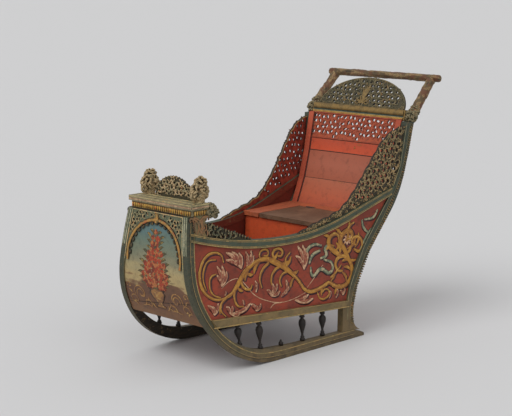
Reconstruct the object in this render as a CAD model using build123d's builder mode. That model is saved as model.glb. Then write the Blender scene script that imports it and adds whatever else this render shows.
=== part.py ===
from build123d import *
from math import atan, cos, degrees, pi, radians, sin
import os

# Carved push sled with a box seat: painted panels between two runners that sweep up in front,
# pierced carving along the sides, the back and the front, and a push bar behind the back.
#
# Frame: +X forward, +Y to the sled's left, +Z up, origin on the floor under the middle.
# Stations are millimetres forward of the runners' rear tips, heights are above the floor.

# Runners
runner_wall = 25
floor_half_width = 266  # mid-plane to a runner's outer face, at the floor
sole_end_station = 545  # where the runner starts to rise
bow_low = (950, 258)
bow_front = (984, 430)
bow_top = (957, 637)
tip_height = 12
sole_depth = 41

# The sides lean out behind and in towards the bow: lean = tail_lean - station * side_twist
tail_lean = 0.0012
side_twist = 0.000149

# Side framing
rail_proud = 8
rail_wall = 31
panel_wall = 12
panel_sunk = 5
post_wall = 30
post_proud = 3
post_top = 921
bottom_rail_foot = ((80, 144), (905, 194))
bottom_rail_head = ((80, 172), (905, 228))
top_rail_under = [(960, 542), (640, 476), (390, 470), (105, 522), (-190, 620)]
top_rail_over = [(-190, 652), (107, 557), (415, 500), (650, 511), (960, 575)]
panel_edge = [(100, 158), (905, 208), (930, 300), (962, 380), (955, 550), (640, 490), (390, 485),
              (100, 545), (-170, 632), (-150, 590), (20, 370), (100, 250)]
wing_wall = 22
wing_proud = 9
wing_lobe = 9
wing_tips = [(-229, 905), (-157, 887), (-103, 850), (-62, 800), (-18, 742), (32, 678), (84, 620),
             (140, 575), (205, 552), (275, 536), (345, 516), (400, 499)]
wing_roots = [(330, 490), (105, 540), (-170, 632), (-240, 760)]
wing_seats = [(-205, 835), (-190, 770), (-185, 715), (-160, 655), (-110, 632), (-40, 609), (30, 586),
              (107, 561), (175, 541), (245, 525), (310, 512), (380, 500)]

# Openings of the carving: place as a share of its width, and radius as a share of it
wing_openings = [(0.3, 0.14), (0.71, 0.14)]
smallest_opening = 4
# Rings of openings: share of the crest's size, how many, their radius
crest_rings = [(0.79, 13, 17), (0.45, 7, 17)]
bow_crest_rings = [(0.7, 7, 10), (0.34, 3, 10)]
screen_columns = 14
screen_pitch = 35
screen_rows = (0.3, 0.72)
screen_opening = 14
spandrel_holes = [(68, 617), (98, 603), (130, 614), (125, 578), (146, 553), (156, 516)]
spandrel_opening = 7

# Spindles
spindle_stations = (255, 379, 510, 630, 750)
broken_station = 510
stump_height = 26
spindle_radius = 10
spindle_neck = 4.5
turned_flats = 8

# Bow
bow_panel_wall = 14
bow_panel_sunk = 5
bow_panel_foot = 196
bow_panel_head = bow_top[1]
plank_gap = 0.6
joint_far_height = 245
joint_near_height = 290
joint_half_width = 170
arch_relief = 9
arch_spring = 448
arch_rise = 150
arch_half_span = 150
arch_foot = 22
arch_lobes = 10
arch_lobe_radius = 9
cornice_top = bow_top[1] + 46
cornice_slab = 20
cornice_front = 947
cornice_depth = 92
cornice_half_width = 187
cornice_step = 9
finial_station = 868
finial_offset = 146
finial_foot = 17
finial_wall = 44
# A finial's curled leaves and the openings between them: forward, up, radius
finial_lobes = [(-36, 27, 22), (36, 27, 22), (0, 32, 26), (-21, 65, 24), (24, 66, 22), (2, 84, 21)]
finial_eyes = [(-20, 46, 6), (21, 47, 6), (2, 60, 5)]
bow_crest_half_width = 112
bow_crest_height = 90
bow_crest_wall = 18
side_scroll = (842, cornice_top - 31)
side_scroll_radius = 30
scroll_proud = 6
scroll_wall = 34
leaf_proud = 6
leaf_wall = 26
leaf_tips = [(872, 604), (820, 585), (765, 562), (705, 538), (650, 515)]

# Seat and floor
seat_top = 524
seat_front = 250
seat_back_station = -88
seat_board = 18
seat_front_wall = 16
lid_left = -140
lid_right = 190
lid_back = -14
lid_gap = 5
lid_rest = 0.3
lid_overhang = 10
cleat = 16
lid_corner = 8
hinge_gap = 7
hinge_radius = 3
hinge_pin = 1.4
hinge_clearance = 0.2
hinge_length = 45
hinge_leaf = 16
hinge_plate = 2
hinge_inset = 62
floor_wall = 14
floor_rear = 118
floor_board_width = 150
bearer_depth = 20
bearer_lift = 3
bearer_width = 44
bearer_stations = (220, 480, 740)

# Back
back_wall = 14
back_face = [(110, 182), (88, 262), (20, 384), (-80, 500), (-146, 634), (-188, 757), (-202, 812),
             (-236, 930)]
rail_height = 48
rail_depth = 46
back_rail_station = -273
back_rail_level = 942
back_rail_half_width = 292
back_rail_lean = 11
rail_knob = 25
crest_half_width = 252
crest_height = 150
crest_wall = 16
crest_lean = 33

# Push handle
bar_height = 1100
bar_station = -430
bar_radius = 18
bar_half_length = 329
arm_radius = 20
arm_tip_radius = 18
arm_offset = 292
arm_toe_in = 12

arch_proud = arch_relief - bow_panel_sunk
origin_station = (bow_front[0] + arch_proud + bar_station - bar_radius) / 2
far = 700  # further than any piece reaches from the mid-plane
slab_stations = (-520, 1040)  # past the bar and past the bow
slab_heights = (-10, 1160)


def at(station, height):
    """A point of the side view, from its station and height."""
    return (station - origin_station, height)


def side_y(station, height, outset=0):
    """Distance from the mid-plane to the sled's side surface."""
    return floor_half_width + height * (tail_lean - station * side_twist) + outset


def side_slab(outset, wall):
    """The twisted slab along the left side that a side piece is cut from."""
    ends = []
    for station in slab_stations:
        with BuildSketch(Plane.YZ.offset(station - origin_station)) as end:
            with BuildLine():
                outer = [(side_y(station, z, outset), z) for z in slab_heights]
                inner = [(side_y(station, z, outset - wall), z) for z in reversed(slab_heights)]
                Polyline(*outer, *inner, close=True)
            make_face()
        ends.append(end.sketch)
    loft(ends, ruled=True)


def between_sides(inset, mode=Mode.INTERSECT):
    """The space between the side surfaces, inset from both, that a cross piece is cut from."""
    ends = []
    for station in slab_stations:
        with BuildSketch(Plane.YZ.offset(station - origin_station)) as end:
            with BuildLine():
                left = [(side_y(station, z, -inset), z) for z in slab_heights]
                right = [(-y, z) for y, z in reversed(left)]
                Polyline(*left, *right, close=True)
            make_face()
        ends.append(end.sketch)
    loft(ends, ruled=True, mode=mode)


def keep(profile):
    """Cut the present part to a side-view profile."""
    extrude(profile.sketch, amount=far, dir=(0, 1, 0), mode=Mode.INTERSECT)


def clear(profile):
    """Take a side-view profile out of the present part."""
    extrude(profile.sketch, amount=far, dir=(0, 1, 0), mode=Mode.SUBTRACT)


def across(profile, half_width=far):
    """Extrude a side-view profile to both sides of the mid-plane."""
    extrude(profile.sketch, amount=half_width, both=True)


def bow_curve():
    """The runner's outer edge, from the floor up over the bow."""
    rise = TangentArc(at(sole_end_station, 0), at(*bow_low), tangent=(1, 0))
    swell = TangentArc(at(*bow_low), at(*bow_front), tangent=rise % 1)
    return TangentArc(at(*bow_front), at(*bow_top), tangent=swell % 1)


def between(points):
    """The points of a list with the middles between them."""
    middles = [((x + x2) / 2, (y + y2) / 2) for (x, y), (x2, y2) in zip(points, points[1:])]
    return [point for pair in zip(points, middles) for point in pair][1:]


def pierce(outer, inner, openings):
    """Six-sided openings on the line between two points of the side view, where it is long enough."""
    a, b = Vector(*at(*inner)), Vector(*at(*outer))
    for share, size in openings:
        radius = size * (b - a).length
        if radius > smallest_opening:
            with Locations(a + (b - a) * share):
                RegularPolygon(radius, 6, mode=Mode.SUBTRACT)


def ring_openings(rings, half_width, height):
    """Take half rings of six-sided openings out of the present sketch of a crest."""
    for share, count, radius in rings:
        for step in range(count):
            turn = pi * (step + 0.5) / count
            with Locations((share * half_width * cos(turn), share * height * sin(turn) + radius / 2)):
                RegularPolygon(radius, 6, mode=Mode.SUBTRACT)


def scallops(points, bulge):
    """A row of round lobes from point to point, each standing out by bulge to its left."""
    for start, end in zip(points, points[1:]):
        a, b = Vector(*start), Vector(*end)
        out = (b - a).normalized().rotate(Axis.Z, 90)
        ThreePointArc(start, (a + b) / 2 + out * bulge, end)


# Side-view profiles

with BuildSketch(Plane.XZ) as runner_profile:
    with BuildLine():
        Line(at(0, 0), at(sole_end_station, 0))
        bow_curve()
        Line(at(*bow_top), at(921, bow_top[1]))
        Line(at(921, bow_top[1]), at(940, 540))
        neck = TangentArc(at(940, 540), at(948, 372), tangent=(0.19, -1))
        throat = TangentArc(at(948, 372), at(872, 196), tangent=neck % 1)
        TangentArc(at(872, 196), at(590, 58), tangent=throat % 1)
        Line(at(590, 58), at(450, 48))
        Line(at(450, 48), at(80, sole_depth))
        ThreePointArc(at(80, sole_depth), at(40, 30), at(0, tip_height))
        Line(at(0, tip_height), at(0, 0))
    make_face()

with BuildSketch(Plane.XZ) as post_profile:
    with BuildLine():
        Line(at(146, sole_depth + 1), at(141, 149))
        Line(at(141, 149), at(113, 160))
        Line(at(113, 160), at(113, 177))
        belly = TangentArc(at(113, 177), at(11, 403), tangent=(-0.2, 1))
        Line(at(11, 403), at(-145, 608))
        TangentArc(at(-145, 608), at(-199, 734), tangent=belly % 1)
        Line(at(-199, 734), at(-227, post_top))
        Line(at(-227, post_top), at(-272, post_top))
        Line(at(-272, post_top), at(-252, 814))
        upper = TangentArc(at(-252, 814), at(-222, 680), tangent=(0.18, -1))
        TangentArc(at(-222, 680), at(-129, 507), tangent=upper % 1)
        Line(at(-129, 507), at(-28, 378))
        TangentArc(at(-28, 378), at(79, 97), tangent=(0.62, -0.79))
        ThreePointArc(at(79, 97), at(64, 58), at(30, 34))
        Line(at(30, 34), at(80, sole_depth))
        Line(at(80, sole_depth), at(146, sole_depth + 1))
    make_face()

with BuildSketch(Plane.XZ) as bottom_rail_profile:
    with BuildLine():
        Polyline(*[at(*end) for end in bottom_rail_foot + bottom_rail_head[::-1]], close=True)
    make_face()

with BuildSketch(Plane.XZ) as top_rail_profile:
    with BuildLine():
        under = [at(*point) for point in top_rail_under]
        over = [at(*point) for point in top_rail_over]
        ThreePointArc(*under[:3])
        TangentArc(*under[2:4], tangent=(-1, 0.054))
        Polyline(under[3], under[4], over[0], over[1])
        TangentArc(*over[1:3], tangent=(0.95, -0.31))
        ThreePointArc(*over[2:])
        Line(over[4], under[0])
    make_face()

with BuildSketch(Plane.XZ) as side_panel_field:
    with BuildLine():
        Polyline(*[at(*point) for point in panel_edge], close=True)
    make_face()

with BuildSketch(Plane.XZ) as wing_profile:
    with BuildLine():
        scallops([at(*tip) for tip in wing_tips], wing_lobe)
        Polyline(*[at(*point) for point in (wing_tips[-1], *wing_roots, wing_tips[0])])
    make_face()
    for outer, inner in zip(between(wing_tips), between(wing_seats)):
        pierce(outer, inner, wing_openings)

pieces = {}


def both_sides(name, left):
    """Name a left-hand piece and make its mirror image for the right."""
    with BuildPart() as right:
        mirror(left.part, about=Plane.XZ)
    pieces[name + "_left"] = left
    pieces[name + "_right"] = right


# Runners, posts and rails

with BuildPart() as runner:
    side_slab(0, runner_wall)
    keep(runner_profile)
both_sides("runner", runner)

with BuildPart() as post:
    side_slab(post_proud, post_wall)
    keep(post_profile)
    clear(runner_profile)
both_sides("rear_post", post)

with BuildPart() as bottom_rail:
    side_slab(rail_proud, rail_wall)
    keep(bottom_rail_profile)
    clear(runner_profile)
    clear(post_profile)
both_sides("bottom_rail", bottom_rail)

with BuildPart() as top_rail:
    side_slab(rail_proud, rail_wall)
    keep(top_rail_profile)
    clear(runner_profile)
    clear(post_profile)
both_sides("top_rail", top_rail)

with BuildPart() as side_panel:
    side_slab(-panel_sunk, panel_wall)
    keep(side_panel_field)
    for frame_profile in (runner_profile, post_profile, bottom_rail_profile, top_rail_profile):
        clear(frame_profile)
both_sides("side_panel", side_panel)

with BuildPart() as wing:
    side_slab(wing_proud, wing_wall)
    keep(wing_profile)
    clear(top_rail_profile)
    clear(post_profile)
both_sides("wing", wing)


# Spindles

def crossings(profile, station, low, high):
    """Heights where an upright line at a station crosses a side-view outline."""
    x = station - origin_station
    upright = Edge.make_line((x, 0, low), (x, 0, high))
    heights = []
    for edge in profile.sketch.edges():
        heights += [point.Z for point in edge.intersect(upright) or []]
    return heights


def turned(foot, way, sections):
    """A turned piece from distances along its axis and radii, with flats for a round."""
    for (low, low_radius), (high, high_radius) in zip(sections, sections[1:]):
        with BuildSketch(Plane(origin=foot + way.normalized() * low, x_dir=(1, 0, 0),
                               z_dir=way)) as ring:
            RegularPolygon(low_radius, turned_flats)
        narrowing = (low_radius - high_radius) * cos(pi / turned_flats)
        extrude(ring.sketch, amount=high - low, taper=degrees(atan(narrowing / (high - low))))


def spindle(station, broken):
    """A turned baluster between the runner and the bottom rail, or what is left of a broken one."""
    base = max(crossings(runner_profile, station, -10, 150))
    top = min(crossings(bottom_rail_profile, station, 100, 260))
    y_base = side_y(station, base, -runner_wall / 2)
    y_top = side_y(station, top, -runner_wall / 2)
    foot = Vector(station - origin_station, y_base, base)
    rise = Vector(0, y_top - y_base, top - base)
    length = rise.length
    thick, thin, tenon = spindle_radius, spindle_neck, 8
    if broken:
        sections = [(-tenon, thick), (4, thick), (10, thin), (stump_height - 5, thin + 2),
                    (stump_height, thin - 2)]
    else:
        sections = [(-tenon, thick), (4, thick), (10, thin), (length * 0.62, thick),
                    (length * 0.87, thin), (length * 0.91, thick), (length + tenon, thick)]
    turned(foot, rise, sections)


def spindle_row(broken_one):
    """The row of spindles on the left side, seated on the runner and under the bottom rail."""
    for station in spindle_stations:
        spindle(station, broken=(station == broken_one))
    add(runner.part, mode=Mode.SUBTRACT)
    add(bottom_rail.part, mode=Mode.SUBTRACT)


with BuildPart() as spindles_left:
    spindle_row(broken_station)
with BuildPart() as whole_row:
    spindle_row(None)
with BuildPart() as spindles_right:
    mirror(whole_row.part, about=Plane.XZ)
pieces["spindles_left"] = spindles_left
pieces["spindles_right"] = spindles_right


# Bow

def bow_region(inset):
    """The side-view area behind the runners' outer edge, set back by inset."""
    with BuildSketch(Plane.XZ) as region:
        with BuildLine():
            bow_curve()
            above = (bow_top[0] - 12, bow_top[1] + 70)
            Polyline(at(*bow_top), at(*above), at(-far, above[1]), at(-far, 0),
                     at(sole_end_station, 0))
        make_face()
        offset(amount=-inset)
    return region


def bow_band(front_inset, back_inset, foot, head):
    """A strip that follows the bow between two heights."""
    with BuildSketch(Plane.XZ) as band:
        add(bow_region(front_inset).sketch)
        add(bow_region(back_inset).sketch, mode=Mode.SUBTRACT)
        with Locations(at(900, (foot + head) / 2)):
            Rectangle(400, head - foot, mode=Mode.INTERSECT)
    return band


with BuildPart() as bow_panel:
    across(bow_band(bow_panel_sunk, bow_panel_sunk + bow_panel_wall, bow_panel_foot,
                    bow_panel_head))
    between_sides(runner_wall)

joint_rise = Vector(0, 2 * joint_half_width, joint_near_height - joint_far_height)
joint_plane = Plane(origin=(0, 0, (joint_near_height + joint_far_height) / 2), x_dir=(1, 0, 0),
                    z_dir=Vector(1, 0, 0).cross(joint_rise))

with BuildPart() as bow_board_lower:
    add(bow_panel.part)
    split(bisect_by=joint_plane.offset(-plank_gap / 2), keep=Keep.BOTTOM)
pieces["bow_board_lower"] = bow_board_lower

with BuildPart() as bow_board_upper:
    add(bow_panel.part)
    split(bisect_by=joint_plane.offset(plank_gap / 2), keep=Keep.TOP)
pieces["bow_board_upper"] = bow_board_upper

with BuildSketch(Plane.YZ) as arch_opening:
    with Locations((0, arch_spring)):
        Ellipse(arch_half_span, arch_rise)
    with Locations((0, arch_spring - arch_rise)):
        Rectangle(2 * arch_half_span, 2 * arch_rise)
    for lobe in range(1, arch_lobes):
        turn = pi * lobe / arch_lobes
        with Locations((arch_half_span * cos(turn), arch_spring + arch_rise * sin(turn))):
            RegularPolygon(arch_lobe_radius, 8, mode=Mode.SUBTRACT)
    for y, height in spandrel_holes:
        for side in (-1, 1):
            with Locations((side * y, height)):
                RegularPolygon(spandrel_opening, 6)

with BuildPart() as bow_arch:
    across(bow_band(bow_panel_sunk - arch_relief, bow_panel_sunk, arch_spring - arch_foot,
                    bow_panel_head))
    between_sides(runner_wall)
    extrude(arch_opening.sketch, amount=2 * far, both=True, mode=Mode.SUBTRACT)
pieces["bow_arch"] = bow_arch

cornice_x = cornice_front - cornice_depth / 2 - origin_station
with BuildPart() as cornice:
    with BuildSketch(Plane.XY.offset(cornice_top - cornice_slab)):
        with Locations((cornice_x, 0)):
            Rectangle(cornice_depth, 2 * cornice_half_width)
    extrude(amount=cornice_slab)
    with BuildSketch(Plane.XY.offset(bow_panel_head)):
        with Locations((cornice_x, 0)):
            Rectangle(cornice_depth - 2 * cornice_step, 2 * (cornice_half_width - cornice_step))
    extrude(amount=cornice_top - cornice_slab - bow_panel_head)
pieces["cornice"] = cornice

finial_x = finial_station - origin_station
with BuildPart() as finial:
    with BuildSketch(Plane.XZ.offset(-finial_offset)):
        with Locations((finial_x, cornice_top + finial_foot / 2)):
            Rectangle(2 * finial_foot, finial_foot)
        for along, up, radius in finial_lobes:
            with Locations((finial_x + along, cornice_top + up)):
                RegularPolygon(radius, 10)
        for along, up, radius in finial_eyes:
            with Locations((finial_x + along, cornice_top + up)):
                RegularPolygon(radius, 6, mode=Mode.SUBTRACT)
    extrude(amount=finial_wall / 2, both=True)
both_sides("finial", finial)

with BuildPart() as bow_crest:
    with BuildSketch(Plane(origin=(finial_x, 0, cornice_top), x_dir=(0, 1, 0), z_dir=(1, 0, 0))):
        with BuildLine():
            half = bow_crest_half_width
            ThreePointArc((-half, 22), (0, bow_crest_height),
                          (half, 22))
            Polyline((half, 22), (half, 0), (-half, 0), (-half, 22))
        make_face()
        ring_openings(bow_crest_rings, bow_crest_half_width, bow_crest_height)
    extrude(amount=bow_crest_wall / 2, both=True)
    for piece in (pieces["finial_left"], pieces["finial_right"]):
        add(piece.part, mode=Mode.SUBTRACT)
pieces["bow_crest"] = bow_crest

with BuildSketch(Plane.XZ) as cornice_side:
    with Locations(at(cornice_front - cornice_depth / 2, (bow_panel_head + cornice_top) / 2)):
        Rectangle(cornice_depth, cornice_top - bow_panel_head)

with BuildSketch(Plane.XZ) as bracket_profile:
    with BuildLine():
        Line(at(872, 540), at(940, 560))
        Line(at(940, 560), at(932, bow_panel_head))
        Line(at(932, bow_panel_head), at(868, bow_panel_head))
        ThreePointArc(at(868, bow_panel_head), at(886, 600), at(872, 540))
    make_face()

with BuildSketch(Plane.XZ) as scroll_profile:
    with Locations(at(*side_scroll)):
        RegularPolygon(side_scroll_radius, 12)
    with Locations(at(side_scroll[0] + side_scroll_radius / 2, side_scroll[1])):
        Rectangle(side_scroll_radius, 2 * side_scroll_radius)

with BuildPart() as side_scroll_piece:
    side_slab(scroll_proud, scroll_wall)
    keep(scroll_profile)
    clear(cornice_side)
    clear(bracket_profile)
    add(finial.part, mode=Mode.SUBTRACT)
both_sides("side_scroll", side_scroll_piece)

with BuildPart() as corner_bracket:
    side_slab(scroll_proud, scroll_wall)
    keep(bracket_profile)
    clear(runner_profile)
    clear(top_rail_profile)
both_sides("corner_bracket", corner_bracket)

with BuildSketch(Plane.XZ) as leaf_profile:
    with BuildLine():
        scallops([at(*tip) for tip in leaf_tips], 8)
        Polyline(at(*leaf_tips[-1]), at(leaf_tips[-1][0], 500), at(leaf_tips[0][0], 530),
                 at(*leaf_tips[0]))
    make_face()

with BuildPart() as rail_leaf:
    side_slab(leaf_proud, leaf_wall)
    keep(leaf_profile)
    clear(top_rail_profile)
    clear(bracket_profile)
both_sides("rail_leaf", rail_leaf)


# Floor

def rail_foot(station):
    """Height of the bottom rail's lower edge."""
    (low_station, low), (high_station, high) = bottom_rail_foot
    return low + (station - low_station) * (high - low) / (high_station - low_station)


def floor_level(station):
    """Height of the floor boards' upper face."""
    return rail_foot(station) + bearer_depth + floor_wall


def sloped_bar(rear, front, low, high):
    """A side-view strip along the bottom rail, between two heights above its lower edge."""
    with BuildLine() as edge:
        Polyline(at(rear, rail_foot(rear) + low), at(front, rail_foot(front) + low),
                 at(front, rail_foot(front) + high), at(rear, rail_foot(rear) + high), close=True)
    make_face(edge.line)


with BuildSketch(Plane.XZ) as floor_profile:
    sloped_bar(floor_rear, bow_low[0], bearer_depth, bearer_depth + floor_wall)
    add(bow_region(bow_panel_sunk + bow_panel_wall).sketch, mode=Mode.INTERSECT)

with BuildSketch(Plane.XZ) as bearer_profile:
    for station in bearer_stations:
        sloped_bar(station - bearer_width / 2, station + bearer_width / 2, bearer_lift, bearer_depth)

rail_inset = rail_wall - rail_proud

with BuildPart() as cross_bearers:
    across(bearer_profile)
    between_sides(rail_inset)
pieces["cross_bearers"] = cross_bearers

with BuildPart() as floor_boards:
    across(floor_profile)
    between_sides(rail_inset)
    for seam in (-1, 1):
        with Locations((0, seam * floor_board_width / 2, 200)):
            Box(4 * far, plank_gap, 400, mode=Mode.SUBTRACT)
    for side in ("left", "right"):
        add(pieces["runner_" + side].part, mode=Mode.SUBTRACT)
pieces["floor_boards"] = floor_boards


# Seat

def side_box(rear, front, low, high):
    """A side-view rectangle between two stations and two heights."""
    with BuildSketch(Plane.XZ) as box:
        with BuildLine() as edge:
            Polyline(at(rear, low), at(front, low), at(front, high), at(rear, high), close=True)
        make_face(edge.line)
    return box


board_low = seat_top - seat_board
board_face = seat_front - lid_overhang
lid_width = lid_right - lid_left - 2 * lid_gap
lid_middle = (lid_right + lid_left) / 2
hinge_x = lid_back - hinge_gap / 2 - origin_station
hinge_places = (lid_middle - lid_width / 2 + hinge_inset, lid_middle + lid_width / 2 - hinge_inset)

with BuildPart() as seat_front_board:
    across(side_box(board_face - seat_front_wall, board_face, rail_foot(board_face), board_low))
    between_sides(rail_inset)
    for lower in (floor_boards, cross_bearers):
        add(lower.part, mode=Mode.SUBTRACT)
    with Locations((board_face - origin_station, 0, floor_level(board_face) - floor_wall / 2)):
        Box(200, 2 * far, 200, align=(Align.CENTER, Align.CENTER, Align.MAX), mode=Mode.SUBTRACT)
pieces["seat_front_board"] = seat_front_board

with BuildPart() as seat_frame:
    across(side_box(seat_back_station, seat_front, board_low, seat_top))
    between_sides(panel_sunk + panel_wall)
    with Locations((lid_back - hinge_gap - origin_station, lid_left, seat_top)):
        Box(600, lid_right - lid_left, 4 * seat_board,
            align=(Align.MIN, Align.MIN, Align.CENTER), mode=Mode.SUBTRACT)
    for y in hinge_places:
        with Locations((hinge_x, y, seat_top)):
            Box(hinge_leaf, hinge_length, hinge_plate,
                align=(Align.MAX, Align.CENTER, Align.MAX), mode=Mode.SUBTRACT)
    for side in ("left", "right"):
        for name in ("top_rail_", "wing_", "rear_post_"):
            add(pieces[name + side].part, mode=Mode.SUBTRACT)
pieces["seat_frame"] = seat_frame

cleat_rear = lid_back - lid_gap - cleat
cleat_length = board_face - seat_front_wall - cleat_rear
cleat_width = cleat + lid_gap + cleat / 2
with BuildPart() as seat_cleats:
    for edge, inward in ((lid_left, 1), (lid_right, -1)):
        middle = edge + inward * (cleat_width / 2 - cleat)
        with Locations((cleat_rear - origin_station, middle, board_low)):
            Box(cleat_length, cleat_width, cleat, align=(Align.MIN, Align.CENTER, Align.MAX))
pieces["seat_cleats"] = seat_cleats

with BuildPart() as seat_lid:
    with Locations((lid_back - origin_station, lid_middle, seat_top)):
        Box(seat_front - lid_back, lid_width, seat_board - lid_rest,
            align=(Align.MIN, Align.CENTER, Align.MAX))
    fillet(seat_lid.edges().filter_by(Axis.Z).group_by(Axis.X)[-1], lid_corner)
    for y in hinge_places:
        with Locations((hinge_x, y, seat_top)):
            Box(hinge_leaf, hinge_length, hinge_plate,
                align=(Align.MIN, Align.CENTER, Align.MAX), mode=Mode.SUBTRACT)
pieces["seat_lid"] = seat_lid

# Each butt hinge is let in flush, with its barrel in the seam behind the lid.
knuckle = hinge_length / 3
running_knuckle = knuckle - 2 * hinge_clearance
leaf_reach = hinge_leaf - hinge_radius - 1

with BuildPart() as lid_hinges_fixed:
    for y in hinge_places:
        with Locations((hinge_x, y, seat_top)):
            Cylinder(hinge_radius, hinge_length, rotation=(90, 0, 0))
            Box(hinge_leaf, hinge_length, hinge_plate, align=(Align.MAX, Align.CENTER, Align.MAX))
            Box(4 * hinge_radius, knuckle, 4 * hinge_radius, mode=Mode.SUBTRACT)
            Cylinder(hinge_pin, hinge_length, rotation=(90, 0, 0))
        with Locations((hinge_x - hinge_radius - 1, y, seat_top)):
            Box(leaf_reach, hinge_length, hinge_plate, align=(Align.MAX, Align.CENTER, Align.MAX))
pieces["lid_hinges_fixed"] = lid_hinges_fixed

with BuildPart() as lid_hinges_moving:
    for y in hinge_places:
        with Locations((hinge_x, y, seat_top)):
            Cylinder(hinge_radius, running_knuckle, rotation=(90, 0, 0))
            Box(hinge_leaf, running_knuckle, hinge_plate,
                align=(Align.MIN, Align.CENTER, Align.MAX))
        with Locations((hinge_x + hinge_radius + 1, y, seat_top)):
            Box(leaf_reach, hinge_length, hinge_plate, align=(Align.MIN, Align.CENTER, Align.MAX))
        with Locations((hinge_x, y, seat_top)):
            Cylinder(hinge_pin + hinge_clearance, hinge_length, rotation=(90, 0, 0),
                     mode=Mode.SUBTRACT)
pieces["lid_hinges_moving"] = lid_hinges_moving


# Back

def plank_ends(points, wall):
    """Front and rear points where the planks of a bent board meet, with mitred joints."""
    faces = [Vector(*at(*point)) for point in points]
    ways = [(b - a).normalized() for a, b in zip(faces, faces[1:])]
    ends = []
    for face, before, after in zip(faces, ways[:1] + ways, ways + ways[-1:]):
        mitre = (before + after).normalized().rotate(Axis.Z, 90)
        ends.append((face, face + mitre * (wall / mitre.dot(after.rotate(Axis.Z, 90)))))
    return ends


def plank(low_end, high_end):
    """A side-view strip between two mitred joints, with half a gap at each."""
    slack = (high_end[0] - low_end[0]).normalized() * plank_gap / 2
    with BuildLine() as edge:
        Polyline(low_end[0] + slack, high_end[0] - slack, high_end[1] - slack, low_end[1] + slack,
                 close=True)
    make_face(edge.line)


back_rail_x = back_rail_station - origin_station
rail_tilt = Plane(origin=(back_rail_x, 0, back_rail_level), x_dir=(0, 1, 0),
                  z_dir=(cos(radians(back_rail_lean)), 0, sin(radians(back_rail_lean))))

with BuildPart() as back_rail:
    with BuildSketch(rail_tilt):
        Rectangle(2 * back_rail_half_width, rail_height)
    extrude(amount=rail_depth / 2, both=True)
    for turn in (-1, 1):
        with Locations((back_rail_x, turn * back_rail_half_width, back_rail_level)):
            Cylinder(rail_knob, 2 * rail_knob, rotation=(90, 0, 0))
pieces["back_rail"] = back_rail

back_joints = plank_ends(back_face, back_wall)
with BuildSketch(Plane.XZ) as back_board_profile:
    for low_end, high_end in zip(back_joints, back_joints[1:-1]):
        plank(low_end, high_end)

with BuildPart() as back_boards:
    across(back_board_profile)
    between_sides(post_wall - post_proud)
    for lower in (seat_frame, floor_boards, cross_bearers):
        add(lower.part, mode=Mode.SUBTRACT)
pieces["back_boards"] = back_boards

with BuildSketch(Plane.XZ) as back_screen_profile:
    plank(back_joints[-2], back_joints[-1])

screen_low, screen_high = (Vector(*at(*point)) for point in back_face[-2:])
screen_rise = screen_high - screen_low
screen_middle = (screen_low + screen_high) / 2
screen_plane = Plane(origin=(screen_middle.X, 0, screen_middle.Y), x_dir=(0, 1, 0),
                     z_dir=(screen_rise.Y, 0, -screen_rise.X))
with BuildPart() as back_screen:
    across(back_screen_profile)
    between_sides(post_wall - post_proud)
    with BuildSketch(screen_plane):
        for row in screen_rows:
            with Locations((0, (row - 0.5) * screen_rise.length)):
                with GridLocations(screen_pitch, 0, screen_columns, 1):
                    RegularPolygon(screen_opening, 6)
    extrude(amount=2 * back_wall, both=True, mode=Mode.SUBTRACT)
    add(back_rail.part, mode=Mode.SUBTRACT)
pieces["back_screen"] = back_screen

for name in ("rear_post_left", "rear_post_right", "wing_left", "wing_right"):
    with BuildPart() as trimmed:
        add(pieces[name].part)
        add(back_rail.part, mode=Mode.SUBTRACT)
    pieces[name] = trimmed

crest_angle = radians(crest_lean)
crest_foot = (back_rail_x, 0, back_rail_level + rail_height / 2)
crest_plane = Plane(origin=crest_foot, x_dir=(0, 1, 0), z_dir=(cos(crest_angle), 0, sin(crest_angle)))
with BuildPart() as back_crest:
    with BuildSketch(crest_plane):
        Ellipse(crest_half_width, crest_height)
        with Locations((0, -crest_height / 2 - 12)):
            Rectangle(2 * crest_half_width, crest_height, mode=Mode.SUBTRACT)
        ring_openings(crest_rings, crest_half_width, crest_height)
    extrude(amount=crest_wall / 2, both=True)
    add(back_rail.part, mode=Mode.SUBTRACT)
pieces["back_crest"] = back_crest


# Push handle

with BuildPart() as handle_bar:
    with Locations((bar_station - origin_station, 0, bar_height)):
        Cylinder(bar_radius, 2 * bar_half_length, rotation=(90, 0, 0))
    chamfer(handle_bar.edges().filter_by(GeomType.CIRCLE), 4)
pieces["handle_bar"] = handle_bar

arm_foot = Vector(back_rail_x, arm_offset, back_rail_level)
arm_head = Vector(bar_station - origin_station, arm_offset - arm_toe_in, bar_height)
with BuildPart() as handle_arm:
    run = arm_head - arm_foot
    turned(arm_foot, run, [(0, arm_radius), (run.length, arm_tip_radius)])
    add(handle_bar.part, mode=Mode.SUBTRACT)
    add(back_rail.part, mode=Mode.SUBTRACT)
    add(pieces["back_crest"].part, mode=Mode.SUBTRACT)
both_sides("handle_arm", handle_arm)


os.makedirs("parts", exist_ok=True)
for name, piece in pieces.items():
    piece.part.label = name
    export_step(piece.part, f"parts/{name}.step")
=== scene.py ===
import math
import random

import bmesh
import bpy
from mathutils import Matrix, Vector, noise


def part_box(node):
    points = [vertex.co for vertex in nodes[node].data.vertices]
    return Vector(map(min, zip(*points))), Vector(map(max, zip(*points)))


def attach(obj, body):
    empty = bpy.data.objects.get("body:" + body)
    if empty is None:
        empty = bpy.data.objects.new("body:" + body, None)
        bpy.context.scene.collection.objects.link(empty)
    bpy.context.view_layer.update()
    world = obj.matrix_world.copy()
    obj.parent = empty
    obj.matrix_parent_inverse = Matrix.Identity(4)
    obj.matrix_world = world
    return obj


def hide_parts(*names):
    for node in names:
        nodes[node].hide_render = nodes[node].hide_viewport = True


# A carved and painted push sled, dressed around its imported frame.
# +X is forward, +Y the sled's left, +Z up, in metres, with the origin on the floor.

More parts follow.
